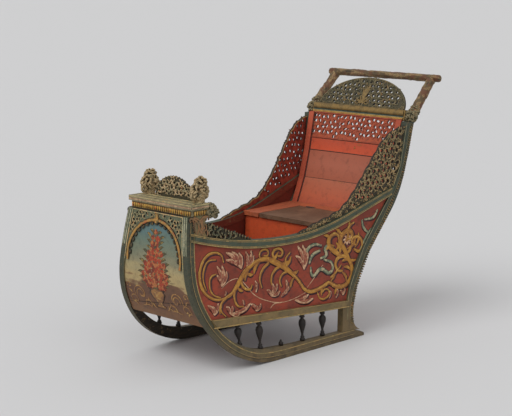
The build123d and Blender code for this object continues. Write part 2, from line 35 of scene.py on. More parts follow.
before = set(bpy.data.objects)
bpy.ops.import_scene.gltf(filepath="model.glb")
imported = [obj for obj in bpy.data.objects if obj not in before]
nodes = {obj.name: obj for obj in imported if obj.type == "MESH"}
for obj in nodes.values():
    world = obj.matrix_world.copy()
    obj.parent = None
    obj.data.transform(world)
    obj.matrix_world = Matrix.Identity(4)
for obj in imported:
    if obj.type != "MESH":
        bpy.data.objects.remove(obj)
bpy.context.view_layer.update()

# The photograph's camera
LENS_MM = 96.43
SENSOR_MM = 36
CAMERA_BEARING = math.radians(44.54)
CAMERA_RISE = math.radians(10.04)
CAMERA_REACH = 5.808
ORIGIN_STATION = -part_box("runner_left")[0][0]  # from the runners' rear tips to the origin
CAMERA_AIM = Vector((0.404 - ORIGIN_STATION, 0, 0.583))

# The sides' outer surface: half width at a station and a height
FLOOR_HALF_WIDTH = 0.266
TAIL_LEAN = 0.0012
SIDE_TWIST = 0.149

# The bow's arch, in millimetres: heights of its foot and of its half round's middle
ARCH_FOOT = 430
ARCH_SPRING = 448
ARCH_RADIUS = 150

SIDES = (("left", 1), ("right", -1))


def srgb(red, green, blue):
    """A linear colour from the 0 to 255 values of a screen colour."""
    def linear(value):
        value /= 255
        return value / 12.92 if value <= 0.04045 else ((value + 0.055) / 1.055) ** 2.4
    return (linear(red), linear(green), linear(blue), 1)


# Shader helpers

def link(tree, source, target):
    """Join two sockets, or set the target to a plain value."""
    if isinstance(source, bpy.types.NodeSocket):
        tree.links.new(source, target)
    else:
        target.default_value = source


def put(tree, kind, inputs=None, **settings):
    """Add a shader node with its settings and its inputs."""
    node = tree.nodes.new(kind)
    for name, value in settings.items():
        setattr(node, name, value)
    for name, value in (inputs or {}).items():
        link(tree, value, node.inputs[name])
    return node


def ramp(tree, factor, low, high):
    """A mask that climbs from 0 to 1 between two values."""
    node = put(tree, "ShaderNodeMapRange", {"Value": factor, "From Min": low, "From Max": high},
               interpolation_type="SMOOTHSTEP")
    return node.outputs["Result"]


def mix(tree, factor, first, second):
    """Blend two colours."""
    node = put(tree, "ShaderNodeMix", data_type="RGBA")
    link(tree, factor, node.inputs[0])
    link(tree, first, node.inputs[6])
    link(tree, second, node.inputs[7])
    return node.outputs[2]


def times(tree, first, second, kind="MULTIPLY"):
    """Combine two values."""
    node = put(tree, "ShaderNodeMath", operation=kind)
    link(tree, first, node.inputs[0])
    link(tree, second, node.inputs[1])
    return node.outputs[0]


def clouds(tree, place, scale, detail, **more):
    """Noise at a place."""
    inputs = {"Vector": place, "Scale": scale, "Detail": detail, **more}
    return put(tree, "ShaderNodeTexNoise", inputs).outputs["Fac"]


def new_group(name, inputs, outputs):
    """An empty shader group, with the sockets of its inputs and of its outputs."""
    group = bpy.data.node_groups.new(name, "ShaderNodeTree")
    for label, kind, value in inputs:
        socket = group.interface.new_socket(label, in_out="INPUT", socket_type=kind)
        socket.default_value = value
    for label, kind in outputs:
        group.interface.new_socket(label, in_out="OUTPUT", socket_type=kind)
    source, sink = group.nodes.new("NodeGroupInput"), group.nodes.new("NodeGroupOutput")
    return group, source.outputs, sink.inputs


COLOUR = "NodeSocketColor"
NUMBER = "NodeSocketFloat"
GREY = (0.5, 0.5, 0.5, 1)
GRIME = (0.02, 0.014, 0.009, 1)


def make_old_paint():
    """Old brushed paint: uneven colour, rubbed patches showing wood, grime and fine cracks."""
    group, ins, outs = new_group("old_paint", [
        ("Paint", COLOUR, GREY), ("Faded", COLOUR, GREY), ("Wood", COLOUR, GREY),
        ("Wear", NUMBER, 0.3), ("Grime", NUMBER, 0.4)],
        [("Color", COLOUR), ("Roughness", NUMBER), ("Height", NUMBER)])
    place = put(group, "ShaderNodeTexCoord").outputs["Object"]
    brushed = put(group, "ShaderNodeMapping", {"Vector": place, "Scale": (0.16, 1, 1)})
    broad = clouds(group, place, 9.0, 4.0)
    patch = clouds(group, place, 38.0, 6.0, Roughness=0.65)
    streak = clouds(group, brushed.outputs[0], 190.0, 4.0)
    crack = put(group, "ShaderNodeTexVoronoi", {"Vector": place, "Scale": 150.0},
                feature="DISTANCE_TO_EDGE")
    faded = mix(group, ramp(group, broad, 0.35, 0.68), ins["Paint"], ins["Faded"])
    grain = times(group, ramp(group, streak, 0.3, 0.75), 0.22)
    streaked = mix(group, grain, faded, ins["Wood"])
    rub_line = times(group, 0.78, times(group, ins["Wear"], 0.42), "SUBTRACT")
    rubbed = ramp(group, patch, rub_line, times(group, rub_line, 0.06, "ADD"))
    worn = mix(group, times(group, rubbed, 0.75), streaked, ins["Wood"])
    dirt = times(group, ramp(group, patch, 0.52, 0.28), ins["Grime"])
    link(group, mix(group, dirt, worn, GRIME), outs["Color"])
    rough = put(group, "ShaderNodeMapRange", {"Value": patch, "To Min": 0.42, "To Max": 0.72})
    link(group, rough.outputs["Result"], outs["Roughness"])
    cracked = times(group, ramp(group, crack.outputs["Distance"], 0, 0.03), 0.25)
    lift = times(group, times(group, streak, 0.5), cracked, "ADD")
    link(group, times(group, lift, times(group, rubbed, -0.3), "ADD"), outs["Height"])
    return group


old_paint = make_old_paint()


def make_outward():
    """A mask of the faces that don't look back at the sled's middle along an axis."""
    group, ins, outs = new_group("outward", [("Axis", "NodeSocketVector", (0, 1, 0))],
                                 [("Mask", NUMBER)])
    coords = put(group, "ShaderNodeTexCoord").outputs
    level = put(group, "ShaderNodeVectorMath", {0: coords["Object"], 1: ins["Axis"]},
                operation="MULTIPLY")
    toward = put(group, "ShaderNodeVectorMath", {0: level.outputs[0], 1: coords["Normal"]},
                 operation="DOT_PRODUCT")
    link(group, ramp(group, toward.outputs["Value"], -0.1, -0.06), outs["Mask"])
    return group


def make_ground(name, shades, drift, brushed=(1, 1, 1), shade_beyond_arch=False):
    """Brushed colours by height: the lowest, the highest, then those between them.

    With the arch, all beyond it is painted dark as the shade under the pierced carving.
    """
    group, _, outs = new_group(name, [], [("Color", COLOUR)])
    place = put(group, "ShaderNodeTexCoord").outputs["Object"]
    axes = put(group, "ShaderNodeSeparateXYZ", {0: place}).outputs
    wide = put(group, "ShaderNodeMapping", {"Vector": place, "Scale": brushed})
    cloud = clouds(group, wide.outputs[0], 26.0, 5.0)
    stray = times(group, times(group, cloud, 0.5, "SUBTRACT"), drift)
    height = put(group, "ShaderNodeMapRange", {"Value": times(group, axes["Z"], stray, "ADD")})
    colours = put(group, "ShaderNodeValToRGB", {"Fac": height.outputs["Result"]})
    knots = colours.color_ramp.elements
    for count, (level, colour) in enumerate(shades):
        knot = knots[count] if count < 2 else knots.new(level)
        knot.position = level
        knot.color = srgb(*colour)
    shown = colours.outputs["Color"]
    if shade_beyond_arch:
        rise = times(group, times(group, axes["Z"], ARCH_SPRING / 1000, "SUBTRACT"), 0.0, "MAXIMUM")
        away = put(group, "ShaderNodeCombineXYZ", {"X": axes["Y"], "Y": rise})
        reach = put(group, "ShaderNodeVectorMath", {0: away.outputs[0]}, operation="LENGTH")
        outside = ramp(group, reach.outputs["Value"], ARCH_RADIUS / 1000, (ARCH_RADIUS + 5) / 1000)
        above = ramp(group, axes["Z"], ARCH_FOOT / 1000, (ARCH_FOOT + 6) / 1000)
        # Painted shade: near black beyond the arch, behind the pierced lace
        shown = mix(group, times(group, outside, above), shown, srgb(30, 25, 19))
    link(group, shown, outs["Color"])
    return group


outward = make_outward()
bow_ground = make_ground("bow_ground", [
    (0.21, (128, 90, 58)), (0.64, (80, 104, 104)), (0.245, (112, 76, 54)), (0.30, (96, 66, 50)),
    (0.345, (108, 76, 54)), (0.355, (170, 148, 102)), (0.40, (160, 146, 106)),
    (0.435, (128, 124, 98)), (0.48, (110, 116, 96)), (0.53, (94, 112, 100)), (0.57, (82, 110, 112))],
    drift=0.12, brushed=(1, 0.3, 1), shade_beyond_arch=True)
back_ground = make_ground("back_ground", [
    (0.2, (120, 50, 36)), (0.9, (168, 78, 50)), (0.49, (150, 62, 40)), (0.56, (176, 84, 54)),
    (0.632, (168, 92, 66)), (0.636, (160, 84, 60)), (0.70, (166, 92, 70)), (0.755, (158, 84, 62)),
    (0.76, (196, 74, 40)), (0.80, (180, 70, 42))], drift=0.004, brushed=(0.3, 0.3, 2))
post_ground = make_ground("post_ground", [
    (0.0, (112, 94, 62)), (0.9, (48, 62, 52)), (0.16, (92, 80, 54)), (0.23, (62, 66, 50)),
    (0.5, (48, 62, 52))], drift=0.2)
runner_ground = make_ground("runner_ground", [
    (0.0, (78, 66, 48)), (0.7, (56, 64, 50)), (0.04, (104, 88, 62)), (0.10, (80, 74, 54)),
    (0.26, (62, 64, 48)), (0.45, (52, 60, 48))], drift=0.2)


def coated(name, group, values, bump, depth):
    """A material whose colour, roughness and relief come from a group."""
    material = bpy.data.materials.new(name)
    material.use_nodes = True
    tree = material.node_tree
    shader = tree.nodes["Principled BSDF"]
    coat = put(tree, "ShaderNodeGroup", values, node_tree=group)
    link(tree, coat.outputs["Color"], shader.inputs["Base Color"])
    link(tree, coat.outputs["Roughness"], shader.inputs["Roughness"])
    relief = put(tree, "ShaderNodeBump", {"Height": coat.outputs["Height"], "Strength": bump,
                                          "Distance": depth})
    link(tree, relief.outputs["Normal"], shader.inputs["Normal"])
    shader.inputs["Specular IOR Level"].default_value = 0.35
    return material, coat


def paint(name, node_names, colour, faded, wood, wear, grime, inner=None, ground=None,
          axis=(0, 1, 0)):
    """Old paint over wood on CAD nodes, with another colour inside or a painted ground."""
    colour, faded, wood = srgb(*colour), srgb(*faded), srgb(*wood)
    material, coat = coated(name, old_paint, {"Paint": colour, "Faded": faded, "Wood": wood,
                                              "Wear": wear, "Grime": grime}, 0.35, 0.0012)
    tree = material.node_tree
    mask = 1.0
    if inner:
        mask = put(tree, "ShaderNodeGroup", {"Axis": axis}, node_tree=outward).outputs["Mask"]
    shown = put(tree, "ShaderNodeGroup", node_tree=ground).outputs["Color"] if ground else None
    for label, outer, lift in (("Paint", colour, 1.0), ("Faded", faded, 1.25)):
        inside = tuple(value * lift for value in (srgb(*inner) if inner else colour)[:3]) + (1,)
        if inner or ground:
            link(tree, mix(tree, mask, inside, shown or outer), coat.inputs[label])
    for node_name, node in nodes.items():
        if node_name.removesuffix("_left").removesuffix("_right") in node_names:
            node.data.materials.clear()
            node.data.materials.append(material)
    return material


BARE_WOOD = (126, 92, 62)
DARK_WOOD = (70, 48, 34)
DEEP_RED = (96, 34, 24)
UNSEEN = (188, 188, 188)  # a colour that a painted ground covers

# The nodes, the paint, faded and wood colours, wear, grime, then what paint() takes after them
PAINTS = {
    "outside_red": (["side_panel"], (122, 50, 34), (148, 60, 38), DARK_WOOD, 0.25, 0.5, DEEP_RED),
    "seat_red": (["seat_front_board"], (206, 82, 40), (190, 72, 40), BARE_WOOD, 0.2, 0.25),
    "plank_red": (["back_screen", "seat_frame", "seat_cleats"], (164, 84, 56), (176, 88, 54),
                  BARE_WOOD, 0.3, 0.3),
    "back_red": (["back_boards"], UNSEEN, UNSEEN, (140, 96, 72), 0.3, 0.3, None, back_ground),
    "inside_red": (["floor_boards", "cross_bearers"], (104, 38, 26), (124, 50, 34), DARK_WOOD, 0.25,
                   0.4),
    "rail_green": (["top_rail"], (50, 70, 58), (66, 78, 62), BARE_WOOD, 0.35, 0.5, DEEP_RED),
    "foot_rail": (["bottom_rail"], (126, 106, 68), (100, 88, 58), BARE_WOOD, 0.4, 0.6, (60, 34, 24)),
    "post_green": (["rear_post"], UNSEEN, UNSEEN, BARE_WOOD, 0.35, 0.5, (74, 32, 24), post_ground),
    # The runners' inner faces are near black: painted shade where the inside of the runner lies in shadow
    "runner_green": (["runner"], UNSEEN, UNSEEN, (112, 92, 62), 0.45, 0.5, (30, 25, 20),
                     runner_ground),
    "cornice_tan": (["cornice"], (162, 148, 116), (128, 120, 90), DARK_WOOD, 0.5, 0.6),
    "rail_brown": (["back_rail"], (112, 88, 48), (84, 70, 42), (140, 112, 66), 0.5, 0.7),
    "gilt_green": (["wing", "finial", "side_scroll", "corner_bracket", "rail_leaf", "bow_crest",
                    "bow_arch", "back_crest"], (118, 100, 62), (86, 90, 62), (150, 122, 84), 0.5, 0.8),
    "lid_wood": (["seat_lid"], (92, 64, 47), (112, 82, 62), (134, 104, 78), 0.35, 0.4),
    "handle_bark": (["handle_bar", "handle_arm"], (88, 62, 40), (108, 78, 48), (70, 62, 38), 0.5, 0.7),
    # The spindles are near black: dark paint, deepened as painted shade under the seat
    "dark_paint_and_shade_turning": (["spindles"], (24, 20, 18), (36, 29, 24), (50, 36, 27), 0.3, 0.4),
    "hinge_iron": (["lid_hinges_fixed", "lid_hinges_moving"], (52, 46, 42), (70, 58, 48),
                   (90, 60, 40), 0.3, 0.4),
    "bow_paint": (["bow_board_lower", "bow_board_upper"], UNSEEN, UNSEEN, (84, 66, 50), 0.2, 0.35,
                  DEEP_RED, bow_ground, (1, 0, 0)),
}
looks = {name: paint(name, *look) for name, look in PAINTS.items()}


# Ornament is drawn as strokes on a flat sheet in millimetres, then laid on the sled's surfaces.

def side_half_width(station, height):
    """Distance from the mid-plane to the side surface, all in metres."""
    return FLOOR_HALF_WIDTH + height * (TAIL_LEAN - station * SIDE_TWIST)


def on_side(turn, lift):
    """Lay a sheet of stations and heights on one side, lifted off its surface."""
    def lay(u, v, w):
        station, height = u / 1000, v / 1000
        out = side_half_width(station, height) + (lift + w) / 1000
        return Vector((station - ORIGIN_STATION, turn * out, height))
    return lay


def on_plane(origin, right, up, out):
    """Lay a sheet on a plane, given by its origin and three directions."""
    origin, right, up, out = (Vector(each) for each in (origin, right, up, out))

    def lay(u, v, w):
        return origin + (right * u + up * v + out * w) / 1000
    return lay


def tangent_arc(start, end, heading):
    """Centre and radius of the arc that leaves start with a heading, and the heading at its end."""
    start, end, heading = Vector(start), Vector(end), Vector(heading).normalized()
    normal = Vector((-heading.y, heading.x))
    chord = end - start
    radius = chord.length_squared / (2 * chord.dot(normal))
    centre = start + normal * radius
    spoke = (end - centre) / radius
    return centre, radius, Vector((-spoke.y, spoke.x))


BOW_POINTS = [(545, 0), (950, 258), (984, 430), (957, 637)]
bow_arcs = []
bow_heading = (1, 0)
for first, second in zip(BOW_POINTS, BOW_POINTS[1:]):
    arc_centre, arc_radius, bow_heading = tangent_arc(first, second, bow_heading)
    bow_arcs.append((second[1], arc_centre, arc_radius))


def bow_station(height):
    """Station of the runners' outer edge at a height on the bow, in millimetres."""
    for top, centre, radius in bow_arcs:
        if height <= top or top == BOW_POINTS[-1][1]:
            return centre.x + math.sqrt(max(radius ** 2 - (height - centre.y) ** 2, 0))


def on_bow(lift):
    """Lay a sheet of left-to-right places and heights on the bow's front."""
    def lay(u, v, w):
        return Vector(((bow_station(v) + lift + w) / 1000 - ORIGIN_STATION, u / 1000, v / 1000))
    return lay


def stroke(points, *widths):
    """A stroke through points, with half widths spread along it."""
    steps = []
    for count, point in enumerate(points):
        reach = count / (len(points) - 1) * (len(widths) - 1)
        low = min(int(reach), max(len(widths) - 2, 0))
        share = reach - low
        width = widths[low] if len(widths) == 1 else widths[low] * (1 - share) + widths[low + 1] * share
        steps.append((*point, 0, width) if len(point) == 2 else (*point, width))
    return steps


def petal(base, tip, width, bend):
    """A pointed leaf from its base to its tip, bent to its left."""
    (x0, y0), (x1, y1) = base, tip
    middle = ((x0 + x1) / 2 - bend * (y1 - y0), (y0 + y1) / 2 + bend * (x1 - x0))
    return stroke([base, middle, tip], width * 0.35, width, width * 0.12)


def volute(centre, radius, start, turns, width):
    """A scroll that winds inwards from an angle in degrees; negative turns wind clockwise."""
    count = max(int(abs(turns) * 8), 4)
    points = []
    for step in range(count + 1):
        share = step / count
        reach = radius * (1 - 0.8 * share)
        angle = math.radians(start) + 2 * math.pi * turns * share
        points.append((centre[0] + reach * math.cos(angle), centre[1] + reach * math.sin(angle)))
    return stroke(points, width * 0.7, width, width * 0.9, width * 1.1)


def add_piece(name, mesh, look, slot, smooth=True, stands_for=None):
    """One piece of a mesh, which may stand for a CAD node."""
    mesh.polygons.foreach_set("use_smooth", [smooth] * len(mesh.polygons))
    mesh.materials.clear()
    mesh.materials.append(looks[look])
    piece = bpy.data.objects.new(name, mesh)
    bpy.context.collection.objects.link(piece)
    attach(piece, "sled")
    if stands_for:
        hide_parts(stands_for)


def settle(name, curve, lay, depth, lift, relief, *more):
    """Turn a drawn curve into one piece on a surface, with its relief as a crown attribute."""
    tube = bpy.data.objects.new(name, curve)
    mesh = bpy.data.meshes.new_from_object(tube)
    bpy.data.objects.remove(tube)
    # The crown is low on a stroke's flanks and on the walls of a board's openings: the materials paint
    # shade there (an outline on flat paint) and a highlight on the tops
    crown = mesh.attributes.new("crown", "FLOAT", "POINT")
    crown.data.foreach_set("value", [relief(vertex.co) if relief else abs(vertex.normal.z)
                                     for vertex in mesh.vertices])
    for vertex in mesh.vertices:
        vertex.co = lay(vertex.co.x, vertex.co.y, vertex.co.z * depth + lift)
    shape = bmesh.new()
    shape.from_mesh(mesh)
    bmesh.ops.recalc_face_normals(shape, faces=shape.faces)
    shape.to_mesh(mesh)
    shape.free()
    add_piece(name, mesh, *more)


def carve(name, strokes, lay, depth, look, slot="carving", rings=1, steps=4, relief=None,
          stands_for=None):
    """Make one piece of strokes laid on a surface."""
    curve = bpy.data.curves.new(name, "CURVE")
    curve.dimensions = "3D"
    curve.bevel_depth = 1
    curve.bevel_resolution = rings
    curve.resolution_u = steps
    curve.use_fill_caps = True
    for points in strokes:
        spline = curve.splines.new("BEZIER")
        spline.bezier_points.add(len(points) - 1)
        for knot, (u, v, w, width) in zip(spline.bezier_points, points):
            knot.co = (u, v, w)
            knot.radius = width
            knot.handle_left_type = knot.handle_right_type = "AUTO"
    settle(name, curve, lay, depth, 0, relief, look, slot, True, stands_for)


BOARD_BEVEL = 0.9


def pierced(name, outline, holes, lay, low, high, look, slot="carving", stands_for=None):
    """Make one board with holes, between two heights over a surface."""
    curve = bpy.data.curves.new(name, "CURVE")
    curve.dimensions = "2D"
    curve.fill_mode = "BOTH"
    curve.bevel_depth = BOARD_BEVEL
    curve.extrude = (high - low) / 2 - BOARD_BEVEL
    for loop in [outline] + holes:
        spline = curve.splines.new("POLY")
        spline.points.add(len(loop) - 1)
        for knot, point in zip(spline.points, loop):
            knot.co = (point[0], point[1], 0, 1)
        spline.use_cyclic_u = True
    settle(name, curve, lay, 1, (low + high) / 2, None, look, slot, False, stands_for)


def room(point, loop):
    """Distance from a point to a closed line, negative outside it."""
    point, best, within = Vector(point), 1e9, False
    for first, second in zip(loop, loop[1:] + loop[:1]):
        a, b = Vector(first), Vector(second)
        span = b - a
        share = min(max((point - a).dot(span) / max(span.length_squared, 1e-9), 0), 1)
        best = min(best, (point - a - span * share).length)
        if (a.y > point.y) != (b.y > point.y) and point.x < a.x + span.x * (point.y - a.y) / span.y:
            within = not within
    return best if within else -best


def scatter(loop, pitch, dice, margin, shake=0.16):
    """Uneven rows of places inside a closed line."""
    low_u, low_v = min(point[0] for point in loop), min(point[1] for point in loop)
    high_u, high_v = max(point[0] for point in loop), max(point[1] for point in loop)
    places = []
    for row in range(int((high_v - low_v) / (pitch * 0.87)) + 1):
        for column in range(int((high_u - low_u) / pitch) + 2):
            spot = (low_u + (column + 0.5 * (row % 2) + dice.uniform(-shake, shake)) * pitch,
                    low_v + (row + 0.4 + dice.uniform(-shake, shake)) * pitch * 0.87)
            if room(spot, loop) > margin:
                places.append(spot)
    return places


def opening(centre, radius, dice):
    """An uneven rounded opening."""
    lean, stretch = dice.uniform(0, math.pi), dice.uniform(1.0, 1.45)
    loop = []
    for step in range(8):
        angle = 2 * math.pi * step / 8
        reach = radius * dice.uniform(0.82, 1.1)
        a, b = reach * stretch * math.cos(angle), reach / stretch * math.sin(angle)
        loop.append((centre[0] + a * math.cos(lean) - b * math.sin(lean),
                     centre[1] + a * math.sin(lean) + b * math.cos(lean)))
    return loop


LEAST_RIM = 1.6
LEAST_WEB = 1.8


def openings(outline, places, radius, dice):
    """Openings at places in a board, kept off its edge and off each other."""
    loops = []
    for place in places:
        near = [loop for spot, loop in loops if math.dist(spot, place) < 4 * radius]
        size = radius
        loop = opening(place, size, dice)
        while size > 1 and any(room(point, outline) < LEAST_RIM
                               or any(room(point, other) > -LEAST_WEB for other in near)
                               for point in loop):
            size *= 0.94
            loop = opening(place, size, dice)
        loops.append((place, loop))
    return [loop for _, loop in loops]


def foliage(places, radius, pitch, thick, dice, sprays=3):
    """Small curled stems round openings, with leaves between them."""
    strokes = []
    for u, v in places:
        start, way = dice.uniform(0, 360), dice.choice((-1, 1))
        ring = [(u + (radius + thick) * math.cos(math.radians(start + way * turn)),
                 v + (radius + thick) * math.sin(math.radians(start + way * turn)))
                for turn in (0, 55, 110, 165, 215)]
        strokes.append(stroke(ring, thick * 0.5, thick, thick * 1.1, thick * 0.8))
        for count in range(sprays):
            angle = math.radians(start + 360 * count / sprays + dice.uniform(-25, 25))
            side = (math.cos(angle), math.sin(angle))
            reach = pitch * dice.uniform(0.62, 0.8)
            strokes.append(petal((u + side[0] * radius, v + side[1] * radius),
                                 (u + side[0] * reach - side[1] * pitch * 0.25,
                                  v + side[1] * reach + side[0] * pitch * 0.25),
                                 thick * dice.uniform(1.0, 1.5), way * 0.2))
    return strokes


GOLDEN_ANGLE = 2.39996
CURLED_LEAF = ((0.45, 0.0, 0.7), (0.84, 0.1, 1.0), (1.0, 0.42, 0.8), (0.84, 0.72, 0.45))


def clump(centre, radii, count, leaf, dice):
    """Curled leaves all over a rounded mass."""
    strokes = []
    for number in range(count):
        rise = 1 - 2 * (number + 0.5) / count
        angle = number * GOLDEN_ANGLE + dice.uniform(-0.2, 0.2)
        level = math.sqrt(1 - rise * rise)
        out = Vector((level * math.cos(angle), level * math.sin(angle), rise))
        along_leaf = out.cross(Vector((dice.uniform(-1, 1), dice.uniform(-1, 1), 1))).normalized()
        knots = []
        for reach, slide, width in CURLED_LEAF:
            spot = out * reach + along_leaf * slide * 0.8
            knots.append((centre[0] + spot.x * radii[0], centre[1] + spot.y * radii[1],
                          centre[2] + spot.z * radii[2], leaf * width))
        strokes.append(knots)
    return strokes


# Its crown sets painted shade deep inside a mass and a painted highlight on its outside
def swell(*masses):
    """Relief of rounded masses: how far out of the nearest one a point lies, from 0 to 1."""
    def relief(point):
        away = min(Vector(((point.x - centre[0]) / radii[0], (point.y - centre[1]) / radii[1],
                           (point.z - centre[2]) / radii[2])).length for centre, radii in masses)
        return min(max((away - 0.4) / 0.5, 0), 1)
    return relief


def make_carved_colours():
    """Painted and gilt carving: mottled colours, painted shade in the hollows (a dark outline on flat paint
    strokes), rubbed wear with a painted highlight on the crowns, and bright touches.
    """
    group, ins, outs = new_group("carved_colours", [
        ("Body", COLOUR, GREY), ("Second", COLOUR, GREY), ("Touch", COLOUR, GREY),
        ("Rubbed_Highlight", COLOUR, GREY), ("Shade_And_Outline", COLOUR, GREY), ("Touches", NUMBER, 0.4),
        ("Edge", NUMBER, 0.45), ("Patch", NUMBER, 45.0)],
        [("Color", COLOUR), ("Roughness", NUMBER), ("Height", NUMBER)])
    place = put(group, "ShaderNodeTexCoord").outputs["Object"]
    crown = put(group, "ShaderNodeAttribute", attribute_name="crown").outputs["Fac"]
    patch = clouds(group, place, ins["Patch"], 3.0)
    touch = clouds(group, place, 62.0, 2.0)
    fine = clouds(group, place, 420.0, 4.0)
    body = mix(group, ramp(group, patch, 0.44, 0.56), ins["Body"], ins["Second"])
    line = times(group, 0.82, times(group, ins["Touches"], 0.5), "SUBTRACT")
    touched = mix(group, ramp(group, touch, line, times(group, line, 0.05, "ADD")), body, ins["Touch"])
    # Painted highlight: the crown colour on the tops of the relief, together with rubbed wear
    rubbed = times(group, ramp(group, crown, 0.8, 1.0), ramp(group, fine, 0.42, 0.62))
    highlit_crowns = mix(group, rubbed, touched, ins["Rubbed_Highlight"])
    # Painted shade: the hollow colour where the crown is low, in crevices, on the walls of openings and in
    # bark furrows; on flat paint strokes it is their dark outline
    uneven = times(group, crown, times(group, fine, 0.3), "ADD")
    edge = times(group, ins["Edge"], 0.15, "ADD")
    shown = ramp(group, uneven, edge, times(group, edge, 0.22, "ADD"))
    link(group, mix(group, shown, ins["Shade_And_Outline"], highlit_crowns), outs["Color"])
    rough = put(group, "ShaderNodeMapRange", {"Value": fine, "To Min": 0.45, "To Max": 0.75})
    link(group, rough.outputs["Result"], outs["Roughness"])
    link(group, times(group, fine, times(group, patch, 0.5), "ADD"), outs["Height"])
    return group


carved_colours = make_carved_colours()


def carved(name, colours, touches=0.25, edge=0.3, patch=45.0, bump=0.5, inner=None):
    """A material of painted carving, with another colour on the inside."""
    labels = ("Body", "Second", "Touch", "Rubbed_Highlight", "Shade_And_Outline")
    values = {label: srgb(*colour) for label, colour in zip(labels, colours)}
    values.update({"Touches": touches, "Edge": edge, "Patch": patch})
    material, coat = coated(name, carved_colours, values, bump, 0.001)
    if inner:
        tree = material.node_tree
        mask = put(tree, "ShaderNodeGroup", node_tree=outward).outputs["Mask"]
        crown = put(tree, "ShaderNodeAttribute", attribute_name="crown").outputs["Fac"]
        drift = clouds(tree, put(tree, "ShaderNodeTexCoord").outputs["Object"], 34.0, 4.0)
        inside = mix(tree, ramp(tree, drift, 0.4, 0.66), srgb(*inner), srgb(*DEEP_RED))
        # Painted shade on the inside as well: the hollow colour in its crevices and on the walls of its
        # openings
        inside = mix(tree, ramp(tree, crown, 0.3, 0.8), values["Shade_And_Outline"], inside)
        shown = mix(tree, mask, inside, coat.outputs["Color"])
        link(tree, shown, tree.nodes["Principled BSDF"].inputs["Base Color"])
    return material


# Painted shade for the hollows of the carving
HOLLOW_SHADE = (34, 26, 19)
